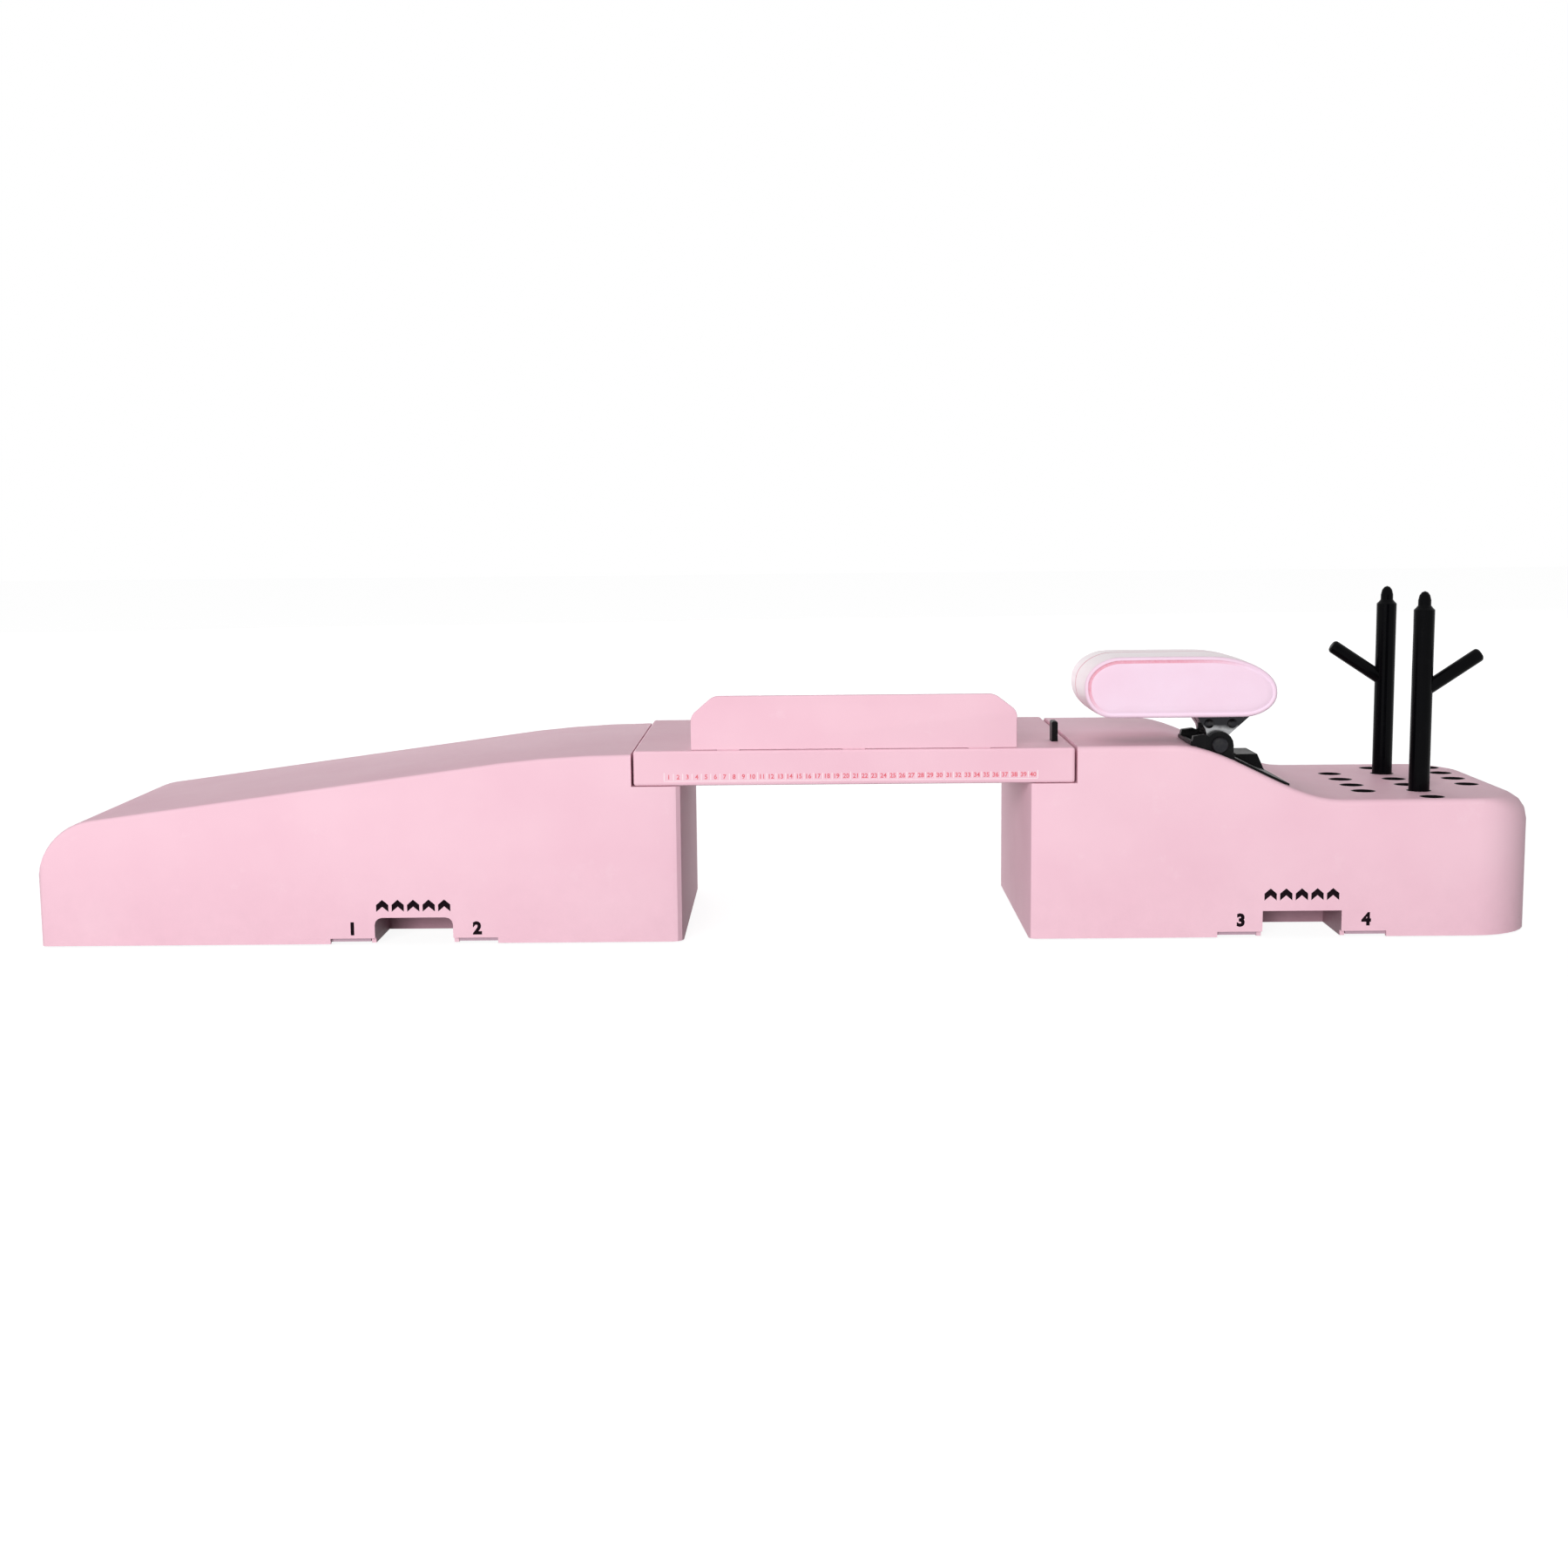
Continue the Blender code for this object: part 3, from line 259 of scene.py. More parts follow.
def drawn_steel(name, base, dull, rough_low, rough_high, stretch):
    """Steel with drawn lines along one axis and dull handling marks."""
    material, tree, shader = graph(name)
    lines = noise(tree, coordinates(tree, stretch), 60.0, 4.0, 0.7)
    marks = steer(tree, noise(tree, coordinates(tree), 220.0, 5.0), 0.45, 0.75, 0.0, 1.0)
    tree.links.new(tint(tree, marks, base, dull), shader.inputs["Base Color"])
    tree.links.new(steer(tree, lines, 0.3, 0.7, rough_low, rough_high), shader.inputs["Roughness"])
    relief(tree, shader, lines, LINE_DEPTH, 0.5)
    shader.inputs["Metallic"].default_value = 1.0
    return material


black_satin = dark_moulding(
    "black_satin", base=(0.004, 0.004, 0.0045), worn=(0.018, 0.017, 0.016),
    grain=900.0, depth=0.00025, rough_low=0.30, rough_high=0.48)
peg_gloss = dark_moulding(
    "peg_gloss", base=(0.0015, 0.0015, 0.002), worn=(0.004, 0.004, 0.005),
    grain=240.0, depth=0.000006, rough_low=0.14, rough_high=0.24, shine=PEG_SHINE)
mauve_base = dark_moulding(
    "mauve_base", base=(0.480, 0.330, 0.400), worn=(0.540, 0.400, 0.460),
    grain=1200.0, depth=0.00012, rough_low=0.50, rough_high=0.66, shine=PLATE_SHINE)
foot_rubber = dark_moulding(
    "foot_rubber", base=(0.020, 0.020, 0.021), worn=(0.075, 0.072, 0.070),
    grain=700.0, depth=0.00020, rough_low=0.72, rough_high=0.88)
bright_steel = drawn_steel(
    "bright_steel", base=(0.640, 0.640, 0.655), dull=(0.520, 0.520, 0.530),
    rough_low=0.16, rough_high=0.30, stretch=(1, 1, 40))
screw_steel = drawn_steel(
    "screw_steel", base=(0.560, 0.560, 0.580), dull=(0.400, 0.400, 0.410),
    rough_low=0.24, rough_high=0.40, stretch=(30, 30, 1))
black_oxide = drawn_steel(
    "black_oxide", base=(0.030, 0.030, 0.034), dull=(0.060, 0.058, 0.056),
    rough_low=0.28, rough_high=0.44, stretch=(1, 30, 1))
print("dark and steel finishes: 7")

# %% [markdown]
# ## Neck of the lever
# The neck is polished plate, bright lower down. Where it enters the pad its colour is dark: a painted
# reflection of the dark pad above. The change of tone follows the height on the piece, with a wavering edge,
# so a height in
# Object coordinates steers it.

# %% Neck of the lever
NECK_REFLECTION_FROM = 0.1152
NECK_REFLECTION_FADES_BELOW = 0.1134
NECK_WAVER = 0.0012
NECK_LINE_DEPTH = 0.00002
NECK_BRIGHT = (0.380, 0.380, 0.390)
NECK_PAINTED_REFLECTION = (0.030, 0.030, 0.033)


def neck_with_painted_reflection(name, bright, dark):
    """Polished steel with a painted dark reflection on its upper end."""
    material, tree, shader = graph(name)
    where = coordinates(tree)
    lines = noise(tree, coordinates(tree, (1, 1, 40)), 60.0, 4.0, 0.7)
    height = place(tree, "ShaderNodeSeparateXYZ", Vector=where).outputs["Z"]
    waver = steer(tree, noise(tree, where, 90.0), 0.3, 0.7, -NECK_WAVER, NECK_WAVER)
    edge = place(tree, "ShaderNodeMath", i0=height, i1=waver)
    # Share of the painted reflection: none low down, full at the top of the neck.
    share = steer(tree, edge.outputs[0], NECK_REFLECTION_FADES_BELOW, NECK_REFLECTION_FROM, 0.0, 1.0)
    tree.links.new(tint(tree, share, bright, dark), shader.inputs["Base Color"])
    tree.links.new(steer(tree, lines, 0.3, 0.7, 0.16, 0.30), shader.inputs["Roughness"])
    relief(tree, shader, lines, NECK_LINE_DEPTH, 0.5)
    shader.inputs["Metallic"].default_value = 1.0
    return material


neck_steel = neck_with_painted_reflection("neck_steel", NECK_BRIGHT, NECK_PAINTED_REFLECTION)
print("neck finish:", neck_steel.name)

# %% [markdown]
# ## Dress the solids
# Solids whose shape is already right keep their meshes. Each one takes the finish of the record's slot,
# so one table by slot dresses all of them, and a few nodes that need another finish are named after it.

# %% Dress the solids
SLOT_FINISH = {
    "pink_body": pink_body,
    "pink_bed": pink_bed,
    "pad_pink": pink_bed,
    "base_plastic": mauve_base,
    "black_plastic": black_satin,
    "peg_black": peg_gloss,
    "steel": bright_steel,
    "feet_rubber": foot_rubber,
}
BLACKENED = ("pivot_pin", "pin_clip", "neck_screw_1", "neck_screw_2", "pad_plate")
node_slot = {row["node"]: row["material_slot"] for row in frame["record"]["subparts"]}
for name, node in nodes.items():
    finish = SLOT_FINISH[node_slot[name]]
    if "base_screw" in name or name == "return_spring":
        finish = screw_steel
    elif name in BLACKENED:
        finish = black_oxide
    elif name == "press_lever":
        finish = neck_steel
    node.data.materials.clear()
    node.data.materials.append(finish)
print("dressed", len(nodes), "solids")

# %% [markdown]
# ## Floor, world and soft light
# A product shot on pure white: the floor and the world glow white only for the camera and for reflections,
# so the white doesn't add light, and the floor still takes a faint shadow. One broad lamp in front lights the
# face, a weaker one lights the back, and a low sky leaves the tops greyer, as the photograph shows. The lamps
# don't show in reflections, so satin tops seen at a low angle keep their colour.

# %% White world
SKY_LIGHT = 0.30
WHITE = (1.0, 1.0, 1.0, 1.0)


def seen_directly(tree):
    """1 for camera, glossy and transmission rays, else 0."""
    path = tree.nodes.new("ShaderNodeLightPath")
    total = path.outputs["Is Camera Ray"]
    for ray in ("Is Glossy Ray", "Is Transmission Ray"):
        step = place(tree, "ShaderNodeMath", i0=total, i1=path.outputs[ray])
        step.operation = "MAXIMUM"
        total = step.outputs[0]
    return total


world = bpy.data.worlds.new("white_studio")
bpy.context.scene.world = world
world.use_nodes = True
sky = world.node_tree.nodes["Background"]
sky.inputs["Color"].default_value = WHITE
sky_strength = steer(world.node_tree, seen_directly(world.node_tree), 0.0, 1.0, SKY_LIGHT, 1.0)
world.node_tree.links.new(sky_strength, sky.inputs["Strength"])
print("world:", world.name)

# %% White floor
FLOOR_GLOW = 0.905
FLOOR_GREY = 0.26
FLOOR_BOUNCE = 0.30
FLOOR_ROUGH = 0.9
FLOOR_SIZE = 6.0
paper, tree, shader = graph("white_paper")
shader.inputs["Base Color"].default_value = (FLOOR_BOUNCE, FLOOR_BOUNCE, FLOOR_BOUNCE, 1.0)
shader.inputs["Roughness"].default_value = FLOOR_ROUGH
dim = place(tree, "ShaderNodeBsdfDiffuse", Color=(FLOOR_GREY, FLOOR_GREY, FLOOR_GREY, 1.0))
glow = place(tree, "ShaderNodeEmission", Strength=FLOOR_GLOW)
backdrop = place(tree, "ShaderNodeAddShader", i0=dim.outputs[0], i1=glow.outputs[0])
paper_mix = place(
    tree, "ShaderNodeMixShader", i0=seen_directly(tree), i1=shader.outputs[0], i2=backdrop.outputs[0])
tree.links.new(paper_mix.outputs[0], tree.nodes["Material Output"].inputs["Surface"])
bm = bmesh.new()
bmesh.ops.create_grid(bm, x_segments=1, y_segments=1, size=FLOOR_SIZE)
floor_mesh = bpy.data.meshes.new("floor")
bm.to_mesh(floor_mesh)
bm.free()
floor = bpy.data.objects.new("floor", floor_mesh)
floor_mesh.materials.append(paper)
bpy.context.scene.collection.objects.link(floor)
print("floor:", floor.name)

# %% Lamps
LAMP_AIM = (0.0, 0.0, 0.06)


def soft_lamp(name, place_at, aim, size, watts):
    """A broad square lamp that points at aim."""
    lamp = bpy.data.lights.new(name, "AREA")
    lamp.size = size
    lamp.energy = watts
    holder = bpy.data.objects.new(name, lamp)
    bpy.context.scene.collection.objects.link(holder)
    holder.location = place_at
    holder.rotation_euler = (Vector(aim) - Vector(place_at)).to_track_quat("-Z", "Y").to_euler()
    holder.visible_glossy = False


soft_lamp("front_lamp", place_at=(-1.20, -4.45, 0.92), aim=LAMP_AIM, size=2.0, watts=202.0)
soft_lamp("rear_lamp", place_at=(-0.40, 3.0, 0.40), aim=LAMP_AIM, size=1.4, watts=100.0)
bpy.context.scene.view_settings.view_transform = "Standard"
print("lamps: front and rear")

# %% [markdown]
# ## Placing new pieces
# A finished piece keeps its object at the origin with its place in its mesh, as the solids do, so that a
# pattern in Object coordinates stays put when the model is exported.

# %% Placing new pieces


def keep(bm, name, finish, body, smooth=True):
    """Turns a bmesh into a piece that rides on a body, or on none."""
    mesh = bpy.data.meshes.new(name)
    bm.to_mesh(mesh)
    bm.free()
    for face in mesh.polygons:
        face.use_smooth = smooth
    mesh.materials.append(finish)
    piece = bpy.data.objects.new(name, mesh)
    bpy.context.scene.collection.objects.link(piece)
    if body:
        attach(piece, body)
    print(name, "faces:", len(mesh.polygons))
    return piece


# %% [markdown]
# ## Smooth skins for the two pedestals
# The pedestals' solids are faceted, and each triangle stands alone, so round corners would show flat bands.
# A copy with its doubles merged can be shaded smooth: flat areas are dissolved to single faces, and edges
# that turn sharply stay crisp. The shape is the solid's own, so the skin simply stands for it. The walls of
# the finger notches take a darker finish of their own, which is painted shade for the shade in the deep
# recess.
# The corner of one inner rib comes through the right pedestal's rolled rear edge, and the skin closes the
# roll there.

# %% Smooth skins for the two pedestals
FLAT_ANGLE = math.radians(0.4)
CRISP_ANGLE = math.radians(28.0)
MERGE_DIST = 0.000005
RIB_LOW = (0.1605, 0.0735, 0.0975)
RIB_HIGH = (0.1635, 0.0805, 0.1047)
POCKET_MARGIN = 0.0015
FRONT_MARGIN = POCKET_MARGIN / 3
RIM_HEIGHT = 0.005
SQUARE_ON = 0.999
front_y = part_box("left_shell")[0].y
openings = frame["record"]["physics"]["openings"]
pockets = [row["box_m"] for row in openings if row["name"].endswith("finger_notch")]


def in_pocket(face):
    """True for a wall or ceiling of a finger notch."""
    spot = face.calc_center_median()
    on_front = spot.y < front_y + FRONT_MARGIN
    on_rim = spot.z < RIM_HEIGHT and abs(face.normal.z) > 0.5
    if on_front or on_rim:
        return False
    return any(low[0] - POCKET_MARGIN < spot.x < high[0] + POCKET_MARGIN
               and spot.y < high[1] + POCKET_MARGIN and spot.z < high[2] + POCKET_MARGIN
               for low, high in pockets)


def close_roll(bm):
    """Takes off the corner of an inner rib that comes through the rolled rear edge, and closes the roll."""
    corner = {v for v in bm.verts if all(low < c < high for low, c, high in zip(RIB_LOW, v.co, RIB_HIGH))}
    stub = [f for f in bm.faces if corner.issuperset(f.verts) and max(abs(n) for n in f.normal) > SQUARE_ON]
    bmesh.ops.delete(bm, geom=stub, context="FACES")
    rim = [edge for edge in bm.edges if edge.is_boundary]
    patch = bmesh.ops.holes_fill(bm, edges=rim, sides=0)["faces"]
    bmesh.ops.connect_verts_nonplanar(bm, angle_limit=FLAT_ANGLE, faces=patch)
    print("rib corner:", len(stub), "faces off,", len(rim), "edges closed")


for shell in ("left_shell", "right_shell"):
    bm = bmesh.new()
    bm.from_mesh(nodes[shell].data)
    bmesh.ops.remove_doubles(bm, verts=bm.verts, dist=MERGE_DIST)
    if shell == "right_shell":
        close_roll(bm)
    bmesh.ops.dissolve_limit(bm, angle_limit=FLAT_ANGLE, verts=bm.verts, edges=bm.edges)
    for edge in bm.edges:
        edge.smooth = len(edge.link_faces) == 2 and edge.calc_face_angle() < CRISP_ANGLE
    # Faces inside the finger notches take the painted shade finish.
    dark = [face for face in bm.faces if in_pocket(face)]
    for face in dark:
        face.material_index = 1
    print(shell, "pocket faces:", len(dark))
    skin = keep(bm, shell + "_skin", pink_body, "base")
    skin.data.materials.append(pocket_painted_shade)
    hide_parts(shell)

# %% [markdown]
# ## Return spring
# A steel coil stands between a spigot on the base plate and the lever's arm. When the pad is pressed, the
# coil shortens and leans, which a rigid solid can't show. A copy of the solid's mesh, with its doubles
# merged, stands in for it as a piece on no body.

# %% Spring coil
bm = bmesh.new()
bm.from_mesh(nodes["return_spring"].data)
bmesh.ops.remove_doubles(bm, verts=bm.verts, dist=MERGE_DIST)
spring_coil = keep(bm, "spring_coil", bright_steel, None)
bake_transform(spring_coil)
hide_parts("return_spring")

# %% [markdown]
# ## Palm pad
# The pad is a soft foam block in a smooth lavender skin. Two flat side panels, front and rear, are sewn to
# one long band that wraps the ends, so a seam runs round each panel. A circle pulled out into four
# elliptical corners gives the drooping side view, one extrusion gives the width, and insets press the seam.

# %% Pad skin and seam finishes
PAD_SKIN = (0.900, 0.690, 0.830)
PAD_BLUSH = (0.880, 0.640, 0.775)
# The band that makes the top and the ends of the pad is painted paler than the panels: a painted highlight
# for the light on the top.
BAND_PAINTED_HIGHLIGHT = (0.990, 0.870, 0.915)
BAND_PAINTED_HIGHLIGHT_BLUSH = (0.985, 0.815, 0.870)
# The seam's red is painted shade in its crease.
SEAM_PAINTED_SHADE = (0.760, 0.330, 0.420)
COAT_ROUGH = 0.35
COAT_IOR = 1.6
SEAM_ROUGH = 0.6
SEAM_GRAIN_DEPTH = 0.00008
PAD_SHINE = 0.30


def soft_skin(name, base, blush, crease_scale, depth, coat):
    """Soft coated skin: a leather-like cell grain, broad blush and a low sheen."""
    material, tree, shader = graph(name)
    where = coordinates(tree)
    cloud = steer(tree, noise(tree, where, 30.0, 4.0), 0.35, 0.70, 0.0, 1.0)
    tree.links.new(tint(tree, cloud, base, blush), shader.inputs["Base Color"])
    cells = place(tree, "ShaderNodeTexVoronoi", Vector=where, Scale=crease_scale)
    cells.feature = "DISTANCE_TO_EDGE"
    creases = steer(tree, cells.outputs["Distance"], 0.0, 0.12, 0.0, 1.0)
    relief(tree, shader, creases, depth, 0.35)
    tree.links.new(steer(tree, cloud, 0.0, 1.0, 0.50, 0.62), shader.inputs["Roughness"])
    shader.inputs["Specular IOR Level"].default_value = PAD_SHINE
    shader.inputs["Coat Weight"].default_value = coat
    shader.inputs["Coat Roughness"].default_value = COAT_ROUGH
    shader.inputs["Coat IOR"].default_value = COAT_IOR
    return material


def seam_with_painted_shade(name, skin, crease_shade, middle, reach):
    """A pressed seam with painted shade in its crease: red at the upper left of the pad, fading into the skin
    elsewhere.
    """
    material, tree, shader = graph(name)
    texture = tree.nodes.new("ShaderNodeTexCoord")
    moved = place(tree, "ShaderNodeMapping", Vector=texture.outputs["Object"], Location=-middle)
    where = moved.outputs["Vector"]
    corner = tree.nodes.new("ShaderNodeVectorMath")
    corner.operation = "DOT_PRODUCT"
    tree.links.new(where, corner.inputs[0])
    corner.inputs[1].default_value = (-1.0 / reach.x, 0.0, 1.0 / reach.z)
    # The painted shade is strongest towards the upper left of the pad, mottled by a noise.
    strength = steer(tree, corner.outputs["Value"], -0.1, 0.8, 0.0, 1.0)
    shade_mottle = steer(tree, noise(tree, where, 900.0, 2.0), 0.3, 0.7, 0.75, 1.0)
    amount = place(tree, "ShaderNodeMath", i0=strength, i1=shade_mottle)
    amount.operation = "MULTIPLY"
    tree.links.new(tint(tree, amount.outputs[0], skin, crease_shade), shader.inputs["Base Color"])
    relief(tree, shader, noise(tree, where, 2600.0, 2.0), SEAM_GRAIN_DEPTH, 0.4)
    shader.inputs["Roughness"].default_value = SEAM_ROUGH
    return material


pad_low, pad_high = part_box("palm_pad")
pad_mid = (pad_low + pad_high) / 2
pad_skin = soft_skin("pad_skin", PAD_SKIN, PAD_BLUSH, crease_scale=1500.0, depth=0.00005, coat=0.5)
# The band's pale colour is a painted highlight.
pad_band_highlight = soft_skin("pad_band_highlight", BAND_PAINTED_HIGHLIGHT, BAND_PAINTED_HIGHLIGHT_BLUSH, crease_scale=900.0, depth=0.00001, coat=0.9)
pad_seam_shade = seam_with_painted_shade("pad_seam_shade", PAD_SKIN, SEAM_PAINTED_SHADE, pad_mid, (pad_high - pad_low) / 2)
print("pad finishes:", pad_skin.name, pad_seam_shade.name, pad_band_highlight.name)

# %% [markdown]
# ### Outline of the pad
# Seen from the front, the pad is a rounded block whose right shoulder droops. A circle spreads its points
# round the rim, and each quarter is stretched to the width and height of its own corner, so four pairs of
# sizes set the whole outline.

# %% Pad outline
PAD_EASE = 0.0007
PAD_CORNERS = {
    (-1, 1): (0.0205, 0.0156),
    (1, 1): (0.0380, 0.0192),
    (1, -1): (0.0190, 0.0126),
    (-1, -1): (0.0155, 0.0162),
}
RIM_STEPS = 48
bm = bmesh.new()
turn_up = Matrix.Rotation(math.pi / 2, 4, "X") @ Matrix.Rotation(math.pi / RIM_STEPS, 4, "Z")
bmesh.ops.create_circle(bm, cap_ends=True, radius=1.0, segments=RIM_STEPS, matrix=turn_up)
for vert in bm.verts:
    side = (1 if vert.co.x > 0 else -1, 1 if vert.co.z > 0 else -1)
    width, height = PAD_CORNERS[side]
    edge_x = pad_high.x - PAD_EASE if side[0] > 0 else pad_low.x + PAD_EASE
    edge_z = pad_high.z - PAD_EASE if side[1] > 0 else pad_low.z + PAD_EASE / 6
    vert.co.x = edge_x - side[0] * width + vert.co.x * width
    vert.co.z = edge_z - side[1] * height + vert.co.z * height
    vert.co.y = pad_low.y + PAD_EASE * 2
print("pad outline points:", len(bm.verts))

# %% [markdown]
# ### Band, panels and seams of the pad
# The band is the extruded rim, cut into strips so that it can swell a little in the middle. A bevel rounds
# each panel's rim. Two insets, one pressed in and one coming back, make the seam, and a third crowns the
# panel. Two cutting planes bound the band's own seam.

# %% Pad band
BAND_SWELL = 0.0006
BAND_CUTS = 5
BAND_SPAN_LEAST = 0.01
pad_depth = pad_high.y - pad_low.y - PAD_EASE * 4
swept = bmesh.ops.extrude_face_region(bm, geom=bm.faces[:])
rear = [v for v in swept["geom"] if isinstance(v, bmesh.types.BMVert)]
bmesh.ops.translate(bm, verts=rear, vec=(0.0, pad_depth, 0.0))
bmesh.ops.recalc_face_normals(bm, faces=bm.faces)
band = [e for e in bm.edges if abs(e.verts[0].co.y - e.verts[1].co.y) > BAND_SPAN_LEAST]
bmesh.ops.subdivide_edges(bm, edges=band, cuts=BAND_CUTS, use_grid_fill=True)
for vert in bm.verts:
    across = (vert.co.y - pad_mid.y) / (pad_depth / 2)
    swell = BAND_SWELL * (1.0 - across * across)
    spoke = Vector((vert.co.x - pad_mid.x, 0.0, vert.co.z - pad_mid.z)).normalized()
    vert.co += spoke * swell
print("band depth:", round(pad_depth, 4))

# %% Pad panels and seams
PANEL_ROUND = 0.0018
SEAM_WIDTH = 0.0007
SEAM_DEPTH = 0.0008
CROWN_INSET = 0.0025
CROWN_LIFT = 0.0004
BAND_SEAM_SHARE = 0.57
CUT_DIST = 0.00001
band_seam_y = pad_low.y + pad_depth * BAND_SEAM_SHARE
panels = [f for f in bm.faces if len(f.verts) == RIM_STEPS]
for panel in panels:
    bmesh.ops.bevel(bm, geom=list(panel.edges), offset=PANEL_ROUND, segments=4, profile=0.5, material=-1,
                    affect="EDGES")
for panel in [f for f in bm.faces if len(f.verts) == RIM_STEPS]:
    for width, lift, seam in ((SEAM_WIDTH, -SEAM_DEPTH, 1), (SEAM_WIDTH, SEAM_DEPTH, 1),
                              (CROWN_INSET, CROWN_LIFT, 0)):
        ring = bmesh.ops.inset_region(bm, faces=[panel], thickness=width, depth=lift, use_even_offset=True)
        for face in ring["faces"]:
            face.material_index = seam
for side in (0.0, SEAM_WIDTH * 2):
    bmesh.ops.bisect_plane(bm, geom=bm.verts[:] + bm.edges[:] + bm.faces[:], dist=CUT_DIST,
                           plane_co=(0.0, band_seam_y + side, 0.0), plane_no=(0.0, 1.0, 0.0))
for face in bm.faces:
    if face.material_index == 0 and abs(face.normal.y) < 0.5:
        on_seam = band_seam_y < face.calc_center_median().y < band_seam_y + SEAM_WIDTH * 2
        face.material_index = 1 if on_seam else 2
pad = keep(bm, "soft_palm_pad", pad_skin, "lever")
pad.data.materials.append(pad_seam_shade)
pad.data.materials.append(pad_band_highlight)
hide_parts("palm_pad")

# %% [markdown]
# ### Pocket for the pad plate
# The steel plate sits in the pad's underside. A Boolean cut after one level of subdivision keeps the soft
# form and leaves a crisp pocket; the cutter is thrown away, so only the finished mesh rides on the lever.

# %% Pocket for the pad plate
POCKET_GAP = 0.0003


def settled(piece):
    """Replaces a piece's mesh by what its modifiers make of it."""
    graph_now = bpy.context.evaluated_depsgraph_get()
    made = bpy.data.meshes.new_from_object(piece.evaluated_get(graph_now))
    piece.modifiers.clear()
    piece.data = made


plate_low, plate_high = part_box("pad_plate")
bm = bmesh.new()
bmesh.ops.create_cube(bm, size=1.0)
pocket_size = plate_high - plate_low + Vector((POCKET_GAP, POCKET_GAP, POCKET_GAP)) * 2
bmesh.ops.scale(bm, verts=bm.verts, vec=pocket_size)
bmesh.ops.translate(bm, verts=bm.verts, vec=(plate_low + plate_high) / 2)
cutter_mesh = bpy.data.meshes.new("pocket_cutter")
bm.to_mesh(cutter_mesh)
bm.free()
cutter = bpy.data.objects.new("pocket_cutter", cutter_mesh)
bpy.context.scene.collection.objects.link(cutter)
rounding = pad.modifiers.new("rounding", "SUBSURF")
rounding.levels = 1
rounding.render_levels = 1
pocket = pad.modifiers.new("pocket", "BOOLEAN")
pocket.operation = "DIFFERENCE"
pocket.object = cutter
settled(pad)
bpy.data.objects.remove(cutter, do_unlink=True)
print("pad faces after the pocket:", len(pad.data.polygons))

# %% [markdown]
# ## Fence
# The fence is a thin upright plate whose top corners are cut on the slant and eased, so that they don't
# catch a sleeve. A six-cornered face gives the outline, a vertex bevel eases the slanted corners, one
# extrusion gives the thickness and an edge bevel breaks the rims. The tabs sit back from the front, so one
# dark line runs under the whole plate.

# %% Fence plate
FENCE_CUT_LEFT = (0.0122, 0.0106)
FENCE_CUT_RIGHT = (0.0120, 0.0092)
FENCE_EASE = 0.0028
FENCE_RIM = 0.0006
FENCE_GAP = 0.0003
NEARLY = 0.0001
fence_low, fence_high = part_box("fence")
fence_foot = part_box("bridge_bed")[1].z + FENCE_GAP
corners = (
    (fence_low.x, fence_foot),
    (fence_high.x, fence_foot),
    (fence_high.x, fence_high.z - FENCE_CUT_RIGHT[1]),
    (fence_high.x - FENCE_CUT_RIGHT[0], fence_high.z),
    (fence_low.x + FENCE_CUT_LEFT[0], fence_high.z),
    (fence_low.x, fence_high.z - FENCE_CUT_LEFT[1]),
)
bm = bmesh.new()
points = [bm.verts.new((x, fence_low.y, z)) for x, z in corners]
bm.faces.new(points)
bmesh.ops.bevel(bm, geom=points[2:], offset=FENCE_EASE, segments=6, profile=0.5, material=-1,
                affect="VERTICES")
pushed = bmesh.ops.extrude_face_region(bm, geom=bm.faces[:])
rear = [v for v in pushed["geom"] if isinstance(v, bmesh.types.BMVert)]
bmesh.ops.translate(bm, verts=rear, vec=(0.0, fence_high.y - fence_low.y, 0.0))
bmesh.ops.recalc_face_normals(bm, faces=bm.faces)
along_faces = [e for e in bm.edges if abs(e.verts[0].co.y - e.verts[1].co.y) < NEARLY]
rims = [e for e in along_faces if max(v.co.z for v in e.verts) > fence_foot + NEARLY]
bmesh.ops.bevel(bm, geom=rims, offset=FENCE_RIM, segments=3, profile=0.5, material=-1, affect="EDGES")
for edge in bm.edges:
    edge.smooth = edge.calc_face_angle(math.pi) < CRISP_ANGLE
fence_plate = keep(bm, "fence_plate", pink_bed, "bridge")
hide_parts("fence")

# %% [markdown]
# ### Tabs of the fence
# Three tabs hold the fence on the bed. They could stay separate boxes, but a Boolean union makes the plate
# and its tabs one closed piece, as they would come out of one mould.

# %% Fence tabs
TAB_WIDTH = 0.012
TAB_INSET = 0.020
TAB_SETBACK = 0.0006
TAB_BITE = 0.002
bm = bmesh.new()
tab_low = Vector((-TAB_WIDTH / 2, fence_low.y + TAB_SETBACK, fence_low.z))
tab_high = Vector((TAB_WIDTH / 2, fence_high.y - TAB_SETBACK / 2, fence_foot + TAB_BITE))
for x in (fence_low.x + TAB_INSET, (fence_low.x + fence_high.x) / 2, fence_high.x - TAB_INSET):
    made = bmesh.ops.create_cube(bm, size=1.0)["verts"]
    bmesh.ops.scale(bm, verts=made, vec=tab_high - tab_low)
    bmesh.ops.translate(bm, verts=made, vec=(tab_low + tab_high) / 2 + Vector((x, 0.0, 0.0)))
tabs_mesh = bpy.data.meshes.new("fence_tabs")
bm.to_mesh(tabs_mesh)
bm.free()
tabs = bpy.data.objects.new("fence_tabs", tabs_mesh)
bpy.context.scene.collection.objects.link(tabs)
joining = fence_plate.modifiers.new("tabs", "BOOLEAN")
joining.operation = "UNION"
joining.object = tabs
settled(fence_plate)
bpy.data.objects.remove(tabs, do_unlink=True)
print("fence faces with tabs:", len(fence_plate.data.polygons))

